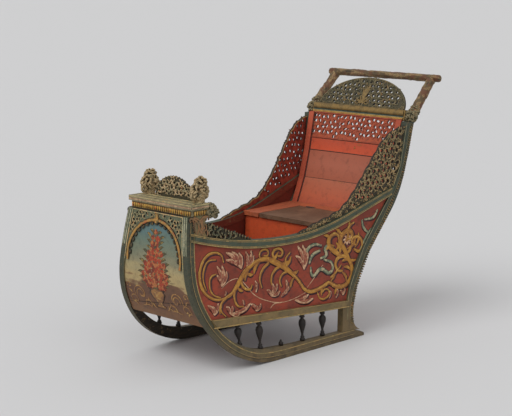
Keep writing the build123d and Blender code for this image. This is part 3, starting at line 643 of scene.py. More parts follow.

# The body, second, touch, crown and hollow colours, then what carved() takes after them; the crown colour
# is rubbed wear with a painted highlight, and the hollow colour is painted shade in the relief or the dark
# outline of flat paint
CARVED = {
    "wing_carving": (((150, 124, 84), (104, 92, 60), (172, 112, 62), (220, 200, 160), HOLLOW_SHADE), 0.32, 0.4,
        60.0, 0.5, (120, 62, 42)),
    "wing_board": (((46, 40, 28), (60, 54, 38), (100, 52, 36), (58, 52, 38), HOLLOW_SHADE), 0.3, 0.3, 45.0, 0.5,
        (144, 56, 40)),
    "crest_board": (((62, 56, 38), (48, 46, 34), (90, 60, 36), (72, 66, 46), HOLLOW_SHADE), 0.3, 0.3),
    "crest_carving": (((106, 92, 62), (74, 70, 48), (140, 104, 58), (176, 164, 124), HOLLOW_SHADE), 0.35, 0.4,
        60.0),
    "rim_gold": (((150, 112, 66), (98, 82, 54), (160, 86, 50), (196, 166, 116), HOLLOW_SHADE), 0.4, 0.35, 50.0),
    "crest_gold": (((118, 94, 50), (98, 78, 44), (136, 104, 56), (140, 118, 70), HOLLOW_SHADE), 0.3, 0.5, 70.0),
    "bow_carving": (((176, 150, 112), (134, 124, 92), (190, 122, 72), (226, 206, 170), HOLLOW_SHADE), 0.3, 0.4,
        60.0),
    "clump_carving": (((116, 96, 66), (84, 78, 56), (150, 104, 60), (196, 172, 130), (22, 17, 13)), 0.3,
        0.5, 60.0),
    "dark_clump": (((78, 70, 50), (56, 60, 46), (110, 76, 46), (150, 134, 98), (22, 18, 14)), 0.3, 0.4,
        60.0),
    "post_carving": (((118, 96, 56), (72, 66, 44), (156, 100, 50), (170, 140, 88), HOLLOW_SHADE), 0.35, 0.45,
        34.0),
    "screen_carving": (((160, 72, 46), (142, 62, 44), (160, 104, 66), (180, 96, 62), (52, 24, 18)), 0.4,
        0.45, 60.0),
    "screen_board": (((146, 64, 42), (168, 74, 42), (112, 62, 48), (160, 80, 52), (40, 20, 15)), 0.45,
        0.62, 40.0),
    "dark_leaf": (((120, 108, 78), (68, 72, 54), (160, 116, 68), (204, 184, 142), HOLLOW_SHADE), 0.35, 0.5,
        60.0),
    "bracket_brown": (((120, 84, 52), (92, 74, 50), (160, 92, 50), (180, 146, 98), HOLLOW_SHADE), 0.3, 0.5,
        60.0),
    "cream_line": (((150, 142, 106), (118, 116, 86), (176, 150, 96), (186, 174, 134), (48, 46, 34)), 0.3,
        0.1, 30.0, 0.3),
    "rail_gold": (((122, 96, 50), (100, 80, 44), (140, 112, 58), (146, 120, 70), (52, 42, 24)), 0.3, 0.1,
        40.0, 0.5),
    "batten_red": (((168, 74, 48), (150, 64, 44), (150, 92, 66), (176, 82, 54), (110, 44, 32)), 0.3, 0.1,
        18.0, 0.3),
    "rail_teal": (((52, 66, 58), (42, 52, 46), (70, 76, 56), (64, 76, 64), HOLLOW_SHADE), 0.2, 0.1, 40.0, 0.3),
    "rail_yellow": (((166, 122, 50), (140, 98, 42), (190, 148, 74), (190, 150, 80), (72, 52, 24)), 0.4,
        0.1, 50.0, 0.5),
    "bark": (((84, 68, 46), (96, 62, 42), (104, 88, 56), (158, 132, 90), (36, 29, 21)), 0.45, 0.36, 34.0,
        0.9),
    "arch_gold": (((150, 108, 48), (108, 86, 46), (154, 78, 40), (188, 150, 84), (48, 36, 22)), 0.45,
        0.5, 60.0),
    "lace_board": (((84, 88, 66), (66, 74, 58), (120, 84, 50), (96, 98, 74), HOLLOW_SHADE), 0.3, 0.2, 50.0),
    "lace_carving": (((170, 142, 98), (122, 118, 84), (184, 126, 60), (214, 198, 160), HOLLOW_SHADE), 0.35, 0.45,
        60.0),
    "ochre_paint": (((164, 112, 40), (136, 86, 36), (184, 134, 56), (178, 130, 56), (66, 34, 28)), 0.45,
        0.45, 30.0, 0.2),
    "ochre_light": (((188, 144, 68), (166, 118, 52), (206, 170, 100), (204, 164, 92), (120, 76, 36)),
        0.4, 0.2, 40.0, 0.2),
    "heart_paint": (((152, 92, 68), (126, 66, 50), (184, 138, 106), (164, 98, 74), (84, 40, 32)), 0.5,
        0.3, 90.0, 0.2),
    "cream_paint": (((196, 156, 122), (166, 116, 86), (214, 184, 148), (206, 174, 138), (104, 52, 38)),
        0.4, 0.5, 80.0, 0.2),
    "green_paint": (((112, 118, 92), (84, 94, 76), (168, 154, 120), (170, 162, 130), (44, 40, 32)), 0.6,
        0.3, 110.0, 0.2),
    "shade_paint": (((58, 30, 34), (72, 40, 50), (56, 28, 30), (70, 36, 32), (58, 28, 26)), 0.3, 0.0,
        40.0, 0.1),
    "cusp_dark": (((58, 50, 34), (44, 44, 34), (110, 84, 42), (120, 98, 56), (26, 22, 17)), 0.4, 0.4,
        60.0, 0.3),
    "urn_ochre": (((146, 104, 58), (120, 82, 54), (168, 132, 76), (172, 134, 80), (70, 50, 40)), 0.5,
        0.3, 40.0, 0.2),
    "edge_green": (((138, 138, 112), (104, 108, 86), (180, 168, 130), (198, 190, 158), (36, 34, 25)),
        0.4, 0.4, 40.0, 0.3),
    "olive_line": (((86, 84, 60), (66, 66, 46), (130, 112, 70), (118, 108, 76), (34, 30, 22)), 0.4, 0.3,
        40.0, 0.3),
    "dark_marks_and_shade": (((34, 26, 20), (44, 34, 26), (70, 50, 36), (60, 46, 36), (20, 16, 12)), 0.3, 0.1,
        60.0, 0.3),
    "rope_paint": (((184, 168, 122), (148, 138, 98), (196, 152, 92), (196, 184, 138), (64, 54, 34)), 0.4,
        0.3, 50.0, 0.3),
    "bead_paint": (((200, 166, 132), (160, 128, 98), (206, 178, 138), (210, 184, 150), (70, 48, 34)),
        0.4, 0.3, 50.0, 0.3),
    "gadroon_gold": (((190, 148, 70), (150, 112, 56), (186, 100, 50), (222, 188, 112), (84, 56, 26)),
        0.4, 0.35, 40.0, 0.3),
    "gold_line": (((150, 122, 74), (118, 104, 68), (178, 146, 86), (196, 168, 112), (58, 50, 36)), 0.4,
        0.1, 25.0, 0.3),
    "blossom_red": (((150, 58, 34), (108, 46, 32), (164, 100, 58), (152, 76, 48), (80, 38, 28)), 0.6,
        0.35, 26.0, 0.2),
    "leaf_olive": (((86, 74, 44), (64, 64, 46), (138, 110, 56), (124, 104, 60), (48, 38, 28)), 0.5, 0.2,
        60.0, 0.2),
}
looks.update({name: carved(name, *look) for name, look in CARVED.items()})

# The sides' painted scrolls: stations and heights in millimetres, then half widths

OCHRE_SCROLLS = [
    ([(841, 242), (838, 269), (809, 297), (767, 315), (727, 352), (694, 386), (643, 415),
      (583, 424), (524, 401), (462, 363), (409, 317), (352, 256), (295, 251), (219, 272)],
     2, 4, 5, 7, 11, 8, 7, 10, 11, 6, 6, 8, 7),
    ([(219, 272), (169, 245), (109, 249), (79, 293), (96, 350), (143, 374), (176, 355),
      (168, 318), (134, 307)], 7, 9, 8, 7, 4),
    ([(799, 440), (809, 471), (847, 485), (887, 473), (918, 435), (927, 394), (916, 349),
      (882, 314), (834, 298), (779, 308)], 2, 4, 5, 5, 6, 6, 4, 3),
    ([(837, 456), (875, 456), (901, 428), (910, 386), (900, 344)], 1.5, 3.5, 2),
    ([(841, 400), (869, 393), (881, 360), (870, 326), (829, 304)], 1.5, 4, 4, 2),
    ([(562, 406), (598, 383), (616, 346), (608, 309)], 5, 5, 2),
    ([(495, 385), (535, 368), (554, 334), (546, 299)], 5, 5, 2),
    ([(454, 356), (494, 345), (507, 321), (499, 297)], 4, 4, 2),
    ([(607, 424), (607, 451), (586, 463), (563, 453), (567, 436), (586, 437)], 3, 4, 3),
    ([(491, 383), (531, 418), (536, 444), (509, 456), (485, 443), (490, 425), (511, 425)],
     5, 5, 3.5),
    ([(461, 371), (469, 404), (440, 433)], 5, 4, 1.5),
    ([(698, 378), (714, 353), (704, 326), (671, 315), (659, 331)], 5, 5, 2),
    ([(751, 326), (759, 291), (744, 259), (711, 250)], 4, 5, 1.5),
    ([(829, 281), (834, 255), (810, 226)], 4, 3, 1.5),
    ([(291, 238), (275, 211), (237, 208), (218, 228), (245, 246), (262, 235)], 3, 4, 3),
    ([(210, 289), (177, 308), (143, 335)], 5, 4, 2),
    ([(143, 374), (192, 405), (220, 444), (199, 471), (162, 466), (159, 442)], 8, 10, 7, 4),
    ([(100, 356), (126, 402), (150, 441), (125, 473), (88, 474), (80, 446), (105, 441)],
     8, 11, 9, 5),
    ([(67, 393), (28, 382), (16, 417), (55, 446), (80, 425), (54, 410)], 5, 7, 6, 4),
    ([(109, 465), (92, 499), (64, 510)], 8, 7, 2),
]
GREEN_RIBBONS = [
    ([(18, 516), (9, 482), (-22, 454)], 3, 5, 3),
    ([(-78, 550), (-54, 520), (5, 515)], 3, 5, 3),
    ([(-79, 517), (-72, 484), (-30, 459), (-1, 426), (28, 388)], 3, 6, 5, 3),
    ([(342, 391), (349, 418), (312, 445), (260, 435)], 3, 6, 5, 3),
    ([(335, 367), (318, 399), (269, 416)], 3, 6, 4),
    ([(328, 354), (317, 315), (271, 337), (210, 313), (197, 344), (250, 375)], 3, 6, 6, 5, 3),
    ([(270, 381), (233, 393), (241, 423), (208, 431)], 3, 6, 5, 3),
]

# Stems of one width, and leaves from a base to one or more tips, with a width
CREAM_STEMS = [
    [(822, 339), (780, 362), (725, 364), (695, 336), (651, 288), (589, 255), (513, 234),
     (434, 235), (360, 251)],
    [(351, 270), (305, 307), (255, 352)],
    [(569, 218), (545, 233), (506, 231)],
]
CREAM_LEAVES = [
    ((710, 404), [(783, 478), (753, 478), (717, 468), (785, 448)], 10),
    ((682, 400), [(681, 469), (652, 469), (639, 447)], 8),
    ((819, 348), [(835, 431), (809, 430), (788, 404), (839, 396)], 9),
    ((365, 349), [(398, 452), (370, 453), (350, 436), (411, 414)], 10),
    ((558, 268), [(581, 297), (547, 320), (522, 313), (508, 281)], 8),
    ((475, 272), [(471, 321), (456, 293)], 7),
    ((468, 267), [(504, 256), (485, 275)], 6),
    ((641, 297), [(641, 344)], 7),
    ((426, 229), [(344, 240), (317, 218)], 9),
    ((870, 242), [(900, 287), (876, 280), (845, 286)], 8),
    ((787, 233), [(805, 266), (773, 264), (732, 229), (673, 258)], 9),
    ((646, 221), [(672, 254), (619, 247), (648, 245)], 8),
    ((221, 201), [(210, 233)], 6),
    ((178, 197), [(167, 235)], 7),
    ((135, 202), [(122, 232), (152, 226)], 7),
    ((711, 256), [(719, 279)], 5),
    ((808, 310), [(800, 328)], 5),
]


def bolder(points, widths, grow, shift=(0, 0), scale=1.45):
    """A painted stroke made wider, and moved for its shade or its light."""
    return stroke([(u + shift[0], v + shift[1]) for u, v in points],
                  *[width * scale + grow for width in widths])


def full_leaf(base, tip, width, bend=0.1):
    """A rounded painted leaf."""
    (x0, y0), (x1, y1) = base, tip
    points = [(x0 + (x1 - x0) * share - bend * math.sin(math.pi * share) * (y1 - y0),
               y0 + (y1 - y0) * share + bend * math.sin(math.pi * share) * (x1 - x0))
              for share in (0, 0.35, 0.7, 1)]
    return stroke(points, width * 0.3, width * 0.8, width, width * 0.3)


# Leaves on the rear scrolls, from the stem to the tip, with a width
OCHRE_LEAVES = [
    ((122, 372), (70, 352), 9), ((128, 380), (92, 402), 9), ((150, 376), (168, 420), 10),
    ((160, 392), (196, 398), 9), ((184, 424), (226, 412), 9), ((206, 452), (236, 470), 8),
    ((110, 400), (70, 430), 10), ((128, 424), (108, 462), 10), ((144, 452), (168, 484), 9),
    ((112, 470), (100, 512), 8), ((150, 250), (176, 222), 8), ((112, 252), (132, 290), 8),
    ((84, 300), (118, 318), 8), ((94, 344), (128, 348), 8), ((180, 400), (160, 440), 9),
    ((60, 400), (44, 446), 8), ((208, 276), (190, 302), 7), ((250, 262), (262, 232), 7),
    ((520, 400), (470, 398), 10), ((560, 414), (520, 436), 8), ((610, 416), (636, 384), 9),
    ((448, 350), (412, 350), 9), ((480, 376), (448, 404), 8), ((420, 326), (440, 296), 8),
    ((690, 390), (660, 376), 8), ((740, 342), (718, 320), 7), ((650, 410), (684, 366), 9)]
ochre_leaves = [full_leaf(base, Vector(base) + (Vector(tip) - Vector(base)) * 1.35, width * 1.15, 0.16)
                for base, tip, width in OCHRE_LEAVES]
ROSETTE = Vector((106, 440))
ROSETTE_RADIUS = 25
rosette = []
for step in range(8):
    way = Vector((math.cos(math.pi * step / 4), math.sin(math.pi * step / 4)))
    rosette.append(full_leaf(ROSETTE, ROSETTE + way * ROSETTE_RADIUS, 7))
cream_leaves = [full_leaf(base, tip, width * 1.3, 0.1) for base, tips, width in CREAM_LEAVES
                for tip in tips]
leaf_hearts = [full_leaf(Vector(base).lerp(Vector(tip), 0.2), Vector(base).lerp(Vector(tip), 0.86),
                         width * 0.84, 0.1) for base, tips, width in CREAM_LEAVES for tip in tips]
for side, turn in SIDES:
    face = on_side(turn, -4.6)
    carve("side_scrolls_" + side, [bolder(points, widths, 0.4) for points, *widths in OCHRE_SCROLLS]
          + ochre_leaves, face, 0.1, "ochre_paint", "painted_boards", rings=2, steps=6)
    carve("side_lights_" + side,
          [bolder(points, widths, 0.2, (1.5, 2), 0.36) for points, *widths in OCHRE_SCROLLS],
          on_side(turn, -3.8), 0.12, "ochre_light", "painted_boards", steps=6)
    shades = [bolder(points, widths, 2.2, (-5, -4)) for points, *widths in OCHRE_SCROLLS]
    shades += [bolder(points, widths, 2.4, (-2, -3), 1.6) for points, *widths in GREEN_RIBBONS]
    shades += [[(u - 3, v - 3.5, w, width + 1.6) for u, v, w, width in leaf]
               for leaf in cream_leaves + ochre_leaves + rosette]
    carve("side_shades_" + side, shades, on_side(turn, -4.9), 0.02, "shade_paint", "painted_boards",
          steps=6)
    carve("side_ribbons_" + side, [bolder(points, widths, 0.6) for points, *widths in GREEN_RIBBONS],
          face, 0.16, "green_paint", "painted_boards", rings=2)
    stems = [stroke(points, 1.4, 2.4, 1.4) for points in CREAM_STEMS]
    carve("side_leaves_" + side, cream_leaves + rosette + stems, face, 0.12, "cream_paint",
          "painted_boards", rings=2)
    carve("leaf_hearts_" + side, leaf_hearts, on_side(turn, -3.7), 0.14, "heart_paint", "painted_boards")


# Pierced carving: boards with openings, and foliage round each opening

def along(points):
    """A function that gives the point at a share of the length of a line through points."""
    points = [Vector(point) for point in points]
    lengths = [0]
    for first, second in zip(points, points[1:]):
        lengths.append(lengths[-1] + (second - first).length)

    def at(share):
        want = min(max(share, 0), 1) * lengths[-1]
        for count in range(1, len(points)):
            if want <= lengths[count] or count == len(points) - 1:
                step = (want - lengths[count - 1]) / (lengths[count] - lengths[count - 1])
                return points[count - 1].lerp(points[count], step)
    return at


WING_EDGE = [(400, 499), (345, 516), (275, 536), (205, 552), (140, 575), (84, 620), (32, 678),
             (-18, 742), (-62, 800), (-103, 850), (-157, 887), (-229, 905)]
WING_FOOT = [(400, 497), (330, 503), (240, 522), (107, 557), (0, 592), (-100, 622), (-170, 645),
             (-192, 690), (-205, 760), (-218, 830), (-229, 880)]
LEAF_EDGE = [(872, 604), (820, 585), (765, 562), (705, 538), (650, 515)]
LEAF_FOOT = [(872, 545), (820, 532), (765, 522), (705, 514), (650, 510)]


def band(inner, outer, low, high, first, last, count):
    """The inner and outer edges of part of a band, by shares of its width and of its length."""
    foot, edge = along(inner), along(outer)
    shares = [first + (last - first) * step / count for step in range(count + 1)]
    return ([foot(share).lerp(edge(share), low) for share in shares],
            [foot(share).lerp(edge(share), high) for share in shares])


# Radius of each board's openings and the pitch between them
WING_HOLE, WING_PITCH = 8.6, 31
CREST_HOLE, CREST_PITCH = 5.2, 21
MOON_HOLE, MOON_PITCH = 7.8, 27
SCALLOPS = 12
SCALLOP_DEPTH = 5
WING_STEPS = 72
WING_RIM_LEAVES = 46
dice = random.Random(7)
wing_edge_at = along(WING_EDGE)
scallops = []
for share in [step / WING_STEPS for step in range(WING_STEPS + 1)]:
    spot = wing_edge_at(share)
    ahead = (wing_edge_at(min(share + 0.01, 1)) - wing_edge_at(max(share - 0.01, 0))).normalized()
    puff = SCALLOP_DEPTH * abs(math.sin(share * math.pi * SCALLOPS)) - 1
    scallops.append((spot.x + ahead.y * puff, spot.y - ahead.x * puff))
wing_outline = scallops + [tuple(point) for point in reversed(WING_FOOT)]
wing_places = scatter(wing_outline, WING_PITCH, dice, 11, 0.2)
wing_openings = openings(wing_outline, wing_places, WING_HOLE, dice)
wing_leaves = foliage(wing_places, WING_HOLE, WING_PITCH, 3.3, dice, 5)
for step in range(WING_RIM_LEAVES):
    spot = wing_edge_at((step + 0.5) / WING_RIM_LEAVES)
    wing_leaves.append(petal((spot.x + 6, spot.y - 8), (spot.x + dice.uniform(0, 5), spot.y + 1), 4, 0.2))
border = [place for place in scatter(wing_outline, 14, dice, 4) if room(place, wing_outline) < 11]
wing_leaves += foliage(border, 2, 12, 3.0, dice, 3)
leaf_outline = LEAF_EDGE + list(reversed(LEAF_FOOT))
leaf_places = scatter(leaf_outline, 25, dice, 7)
leaf_sprigs = foliage(leaf_places, 6.4, 25, 4.2, dice, 4)
leaf_sprigs += [petal((u, v), (u - 8, v + 13), 4.5, -0.2)
                for u, v in [along(LEAF_EDGE)(step / 16) - Vector((0, 9)) for step in range(17)]]

for side, turn in SIDES:
    pierced("wing_board_" + side, wing_outline, wing_openings, on_side(turn, 0), -11, -3,
            "wing_board", stands_for="wing_" + side)
    carve("wing_carving_" + side, wing_leaves, on_side(turn, -3.5), 1.1, "wing_carving")
    rim = [stroke([(u - 1, v - 3) for u, v in scallops], 4.6)]
    carve("wing_rim_" + side, rim, on_side(turn, -10.5), 0.9, "rim_gold")
    pierced("leaf_board_" + side, leaf_outline, openings(leaf_outline, leaf_places, 6, dice),
            on_side(turn, 0), -18, -10, "wing_board", stands_for="rail_leaf_" + side)
    carve("rail_vine_" + side, leaf_sprigs, on_side(turn, -9), 1.4, "dark_leaf")


def arc_points(centre, radii, first, last, count):
    """Points along an ellipse between two angles in degrees."""
    points = []
    for step in range(count + 1):
        angle = math.radians(first + (last - first) * step / count)
        points.append((centre[0] + radii[0] * math.cos(angle),
                       centre[1] + radii[1] * math.sin(angle)))
    return points


def fan(centre, reach, first, last, count, width):
    """A palmette: pointed leaves that spread from a centre."""
    leaves = []
    for step in range(count):
        angle = math.radians(first + (last - first) * step / (count - 1))
        way = (math.cos(angle), math.sin(angle))
        base = (centre[0] + way[0] * reach[0] * 0.15, centre[1] + way[1] * reach[1] * 0.15)
        tip = (centre[0] + way[0] * reach[0], centre[1] + way[1] * reach[1])
        leaves.append(petal(base, tip, width, 0.06 * (1 if way[0] > 0 else -1)))
    return leaves


def curl(base, tip, width, hook):
    """A leaf whose tip curls over to one side."""
    (x0, y0), (x1, y1) = base, tip
    dx, dy = x1 - x0, y1 - y0
    points = [(x0, y0), (x0 + dx * 0.5 - dy * hook * 0.25, y0 + dy * 0.5 + dx * hook * 0.25),
              (x1 - dx * 0.08, y1 - dy * 0.08), (x1 + dy * hook * 0.28, y1 - dx * hook * 0.28),
              (x1 + dy * hook * 0.3 - dx * 0.2, y1 - dx * hook * 0.3 - dy * 0.2)]
    return stroke(points, width * 0.6, width, width * 0.9, width * 0.8, width * 0.5)


def lifted(lay, rise):
    """The same surface, further out."""
    return lambda u, v, w: lay(u, v, w + rise)


CORNICE_TOP = 683
FINIAL_X = 0.868 - ORIGIN_STATION
FINIAL_Y = 0.146
bow_top_face = on_plane((FINIAL_X, 0, CORNICE_TOP / 1000), (0, 1, 0), (0, 0, 1), (1, 0, 0))
crest_rim = arc_points((0, -6), (108, 92), 177, 3, 36)
crest_outline = crest_rim + [(106, 0), (-106, 0)]
crest_places = scatter(crest_outline, CREST_PITCH, dice, 8, 0.2)
pierced("bow_crest_board", crest_outline, openings(crest_outline, crest_places, CREST_HOLE, dice),
        bow_top_face, -5, 5, "crest_board", stands_for="bow_crest")
sprigs = foliage(crest_places, CREST_HOLE, CREST_PITCH, 3.2, dice, 5)
sprigs += [petal((u * 0.93, v * 0.93), (u * 1.02, v * 1.02 + 2), 4.5, 0.2) for u, v in crest_rim[1::2]]
for label, way in (("front", 1), ("rear", -1)):
    carve("bow_crest_" + label, sprigs, lifted(bow_top_face, 4.5 * way), 1.6, "bow_carving")

CREST_LEAN = math.radians(33)
BACK_RAIL_AT = (-0.273 - ORIGIN_STATION, 0, 0.942)
crest_face = on_plane((BACK_RAIL_AT[0], 0, BACK_RAIL_AT[2] + 0.024), (0, 1, 0),
                      (-math.sin(CREST_LEAN), 0, math.cos(CREST_LEAN)),
                      (math.cos(CREST_LEAN), 0, math.sin(CREST_LEAN)))
half_moon = arc_points((0, -6), (247, 150), 177, 3, 60)
moon_outline = half_moon + [(244, 0), (-244, 0)]
moon_places = scatter(moon_outline, MOON_PITCH, dice, 10, 0.2)
pierced("back_crest_board", moon_outline, openings(moon_outline, moon_places, MOON_HOLE, dice),
        crest_face, -5, 3, "crest_board", stands_for="back_crest")
sprigs = foliage(moon_places, MOON_HOLE, MOON_PITCH, 3.1, dice, 5)
border = [place for place in scatter(moon_outline, 14, dice, 3) if room(place, moon_outline) < 10]
sprigs += foliage(border, 1.5, 12, 2.4, dice, 3)
sprigs += [petal((u * 0.96, v * 0.96), (u * 1.0, v * 1.0 + 1), 5, 0.25) for u, v in half_moon[1::2]]
sprigs.append(stroke(half_moon, 3.4))
for label, rise in (("front", 2.5), ("rear", -4.5)):
    carve("back_crest_" + label, sprigs, lifted(crest_face, rise), 1.1, "crest_carving")
palmette = fan((0, 6), (52, 104), 62, 118, 7, 6) + fan((0, 6), (46, 60), 30, 150, 6, 6)
palmette += [volute((turn * 24, 22), 15, 90 - turn * 60, turn * -1.2, 4) for turn in (-1, 1)]
carve("back_palmette", palmette, lifted(crest_face, 3.5), 0.9, "crest_gold", rings=2)

# Finials: leafy bunches on the cornice's corners

for side, turn in SIDES:
    bunch = clump((0, 44, 0), (40, 37, 26), 54, 5.6, dice) + clump((-5, 78, 2), (26, 22, 19), 30, 5, dice)
    bunch += [stroke([(0, 0), (0, 40), (-2, 82)], 22, 25, 13), volute((31, 24), 15, 100, -1.2, 6),
              volute((-31, 24), 15, 80, 1.2, 6)]
    finial_face = on_plane((FINIAL_X, turn * FINIAL_Y, CORNICE_TOP / 1000), (1, 0, 0), (0, 0, 1),
                           (0, turn, 0))
    carve("finial_carving_" + side, bunch, finial_face, 1.0, "clump_carving",
          relief=swell(((0, 44, 0), (42, 39, 27)), ((-5, 76, 2), (27, 24, 20))),
          stands_for="finial_" + side)


# The bow: a painted panel under a gilt arch with pierced lace around it

def bow_half_width(height, inset):
    """Half the bow's width at a height, less an inset, in millimetres."""
    return side_half_width(bow_station(height) / 1000, height / 1000) * 1000 - inset


RING_RADIUS = ARCH_RADIUS + 7
arch_ring = [(-RING_RADIUS, 428)]
arch_ring += arc_points((0, ARCH_SPRING), (RING_RADIUS, RING_RADIUS), 180, 0, 42)
arch_ring += [(RING_RADIUS, 428)]
lace_inner = arc_points((0, ARCH_SPRING), (ARCH_RADIUS + 16, ARCH_RADIUS + 16), 186, -6, 36)
side_line = [(-bow_half_width(v, 30), v) for v in (ARCH_FOOT, 520, 600, 630)]
lace_outer = side_line + [(0, 632)] + [(-u, v) for u, v in reversed(side_line)]
lace_outline = lace_outer + list(reversed(lace_inner))
lace_places = scatter(lace_outline, 18, dice, 6.5, 0.2)
pierced("lace_board", lace_outline, openings(lace_outline, lace_places, 6.6, dice),
        on_bow(0), -5.6, -1.5, "lace_board", stands_for="bow_arch")
lace = foliage(lace_places, 5.8, 18, 2.0, dice, 3)
lace += [stroke([(turn * bow_half_width(v, 29), v) for v in (428, 500, 570, 632)], 3.5)
         for turn in (-1, 1)]
lace += [stroke([(-bow_half_width(632, 30), 633), (0, 633), (bow_half_width(632, 30), 633)], 3)]
carve("arch_lace", lace, on_bow(-1.5), 0.9, "lace_carving")
ring = [stroke(arch_ring, *((6.5, 9) * 21)), stroke([(-12, 608), (12, 608)], 13, 13),
        stroke([(0, 594), (0, 630)], 11, 14)]
carve("arch_band", ring, on_bow(0), 0.34, "arch_gold", rings=2)
CUSPS = 17
cusps = []
for step in range(CUSPS):
    angle = math.pi * (step + 0.5) / CUSPS
    cusps.append(stroke([(reach * math.cos(angle), ARCH_SPRING + reach * math.sin(angle))
                         for reach in (ARCH_RADIUS - 3, ARCH_RADIUS - 12)], 12, 9))
carve("arch_cusps", cusps, on_bow(-2), 0.34, "cusp_dark", rings=2)

# A bunch of blossoms that widens downwards in uneven rows
BUNCH_TOP = 556
BUNCH_ROWS = (1.0, 1.5, 1.0, 0.8, 1.15, 0.95, 1.2, 1.0, 1.1, 0.92, 0.7)
dice = random.Random(7)
blooms, greens = [], []
for row, fullness in enumerate(BUNCH_ROWS):
    v = BUNCH_TOP - row * 21.5
    half = (12 + (BUNCH_TOP - v) * 0.34) * fullness
    count = max(round(half / 12), 1)
    for place in range(count):
        u = (place - (count - 1) / 2) * 2 * half / count + dice.uniform(-4, 4)
        size = dice.uniform(12, 16) + row * 0.3
        middle = (u, v + dice.uniform(-5, 5))
        blooms += fan(middle, (size, size), dice.uniform(0, 40), dice.uniform(320, 340), 7, size * 0.36)
        blooms.append(stroke([(middle[0] - 1, middle[1]), (middle[0] + 1, middle[1])], size * 0.25))
    for turn in (-1, 1):
        edge = turn * (half + 4)
        greens.append(petal((edge * 0.8, v - 4), (edge + turn * 20, v + dice.uniform(2, 16)), 7,
                            0.15 * turn))
        greens.append(petal((edge * 0.4, v - 12), (edge * 0.8, v + 8), 6, -0.15 * turn))
greens.append(stroke([(0, 300), (2, 420), (0, 545)], 16, 8, 3))
urn = [stroke([(0, 246), (0, 254), (0, 262), (0, 284), (0, 306), (0, 318), (0, 326)],
              30, 26, 12, 34, 48, 40, 54)]
curls = []
for turn in (-1, 1):
    for u, v, size, width in ((106, 292, 40, 3.6), (106, 290, 25, 3), (152, 258, 26, 3.4),
                              (70, 250, 24, 3.2), (168, 318, 15, 2.6)):
        curls.append(volute((turn * u, v), size, 90 - turn * 110, turn * 1.0, width))
    for base, tip in (((60, 232), (96, 240)), ((120, 236), (86, 258)), ((150, 230), (182, 246)),
                      ((48, 262), (30, 236)), ((160, 284), (180, 300)), ((84, 262), (62, 284))):
        curls.append(petal((turn * base[0], base[1]), (turn * tip[0], tip[1]), 6, 0.2 * turn))
carve("bow_blossoms", blooms, on_bow(-4.6), 0.1, "blossom_red", "painted_boards", rings=2)
carve("bow_greenery", greens, on_bow(-4.9), 0.06, "leaf_olive", "painted_boards", rings=2)
carve("bow_urn", urn, on_bow(-4.9), 0.03, "urn_ochre", "painted_boards", rings=2)
carve("bow_curls", curls, on_bow(-4.8), 0.12, "urn_ochre", "painted_boards", rings=2)
joint = [stroke([(-192, 242), (-60, 259), (60, 275.5), (192, 293)], 1.2),
         stroke([(-120, 236), (-40, 243), (30, 239)], 0.5, 0.9, 0.4),
         stroke([(70, 372), (96, 366), (120, 369)], 0.4, 0.8, 0.4)]
carve("bow_joint", joint, on_bow(-4.7), 0.3, "dark_marks_and_shade", "painted_boards")

strip = [stroke([(turn * bow_half_width(v, inset), v) for v in range(488, 640, 37)], width)
         for turn in (-1, 1) for inset, width in ((27, 3), (17, 4.5), (6, 3.5))]
carve("bow_edge_mouldings", strip, on_bow(-1), 0.7, "edge_green", "painted_framing", rings=2)
strip = [stroke([(turn * bow_half_width(v, inset), v) for v in range(214, 488, 39)], width)
         for turn in (-1, 1) for inset, width in ((27, 2.2), (4, 1.6))]
carve("bow_edge_lines", strip, on_bow(-1), 0.5, "olive_line", "painted_framing", rings=2)
nails = [stroke([(turn * bow_half_width(v, 15) - 0.5, v), (turn * bow_half_width(v, 15) + 0.5, v)], 3)
         for turn in (-1, 1) for v in (484, 436, 372, 300, 240)]
nails += [stroke([(u - 0.5, v), (u + 0.5, v)], 2) for u, v in ((-176, 255), (-170, 280), (176, 254),
                                                               (170, 281), (-60, 256), (64, 254))]
carve("bow_nails", nails, on_bow(-0.6), 0.5, "dark_marks_and_shade", "iron")

# Mouldings of the cornice: a rope and beads round the slab, and gadroons under it
CORNICE_FRONT = 0.947 - ORIGIN_STATION
CORNICE_REAR = 0.855 - ORIGIN_STATION
CORNICE_HALF_WIDTH = 0.187


def cornice_row(height, inset, pitch, make):
    """Strokes along the cornice's front and both ends, made in each place by a function."""
    rows = []
    half = CORNICE_HALF_WIDTH - inset / 1000
    front = on_plane((CORNICE_FRONT - inset / 1000, 0, height), (0, 1, 0), (0, 0, 1), (1, 0, 0))
    count = int(2000 * half / pitch)
    rows.append((front, [make((step - (count - 1) / 2) * pitch) for step in range(count)]))
    depth = CORNICE_FRONT - inset / 1000 - CORNICE_REAR
    count = int(1000 * depth / pitch)
    for turn in (-1, 1):
        end = on_plane((CORNICE_REAR, turn * half, height), (1, 0, 0), (0, 0, 1), (0, turn, 0))
        rows.append((end, [make((step + 0.5) * pitch) for step in range(count)]))
    return rows


for label, rows, look, depth in (
        ("rope", cornice_row(0.6805, 1, 8, lambda u: stroke([(u - 4, -1), (u + 4, 1)], 2.4, 3, 2.4)),
         "rope_paint", 1.0),
        ("bead", cornice_row(0.671, -0.5, 6.5, lambda u: stroke([(u, -3), (u, 3)], 3, 3.4, 3)),
         "bead_paint", 0.8),
        ("gadroon", cornice_row(0.647, 8, 12.5, lambda u: stroke([(u, -9), (u, 1), (u, 9)], 3, 6, 6)),
         "gadroon_gold", 0.85)):
    for number, (face, strokes) in enumerate(rows):
        carve("cornice_%s_%d" % (label, number), strokes, face, depth, look, "painted_framing")
crest_foot_face = on_plane((FINIAL_X + 0.016, 0, CORNICE_TOP / 1000), (0, 1, 0), (1, 0, 0), (0, 0, 1))
carve("cornice_top_lines", [stroke([(-180, v), (0, v), (180, v)], width) for v, width in
                            ((0, 3), (10, 2), (40, 3))], crest_foot_face, 0.8, "rope_paint",
      "painted_framing", rings=2)


# Mouldings of the rails and carving along the rear posts

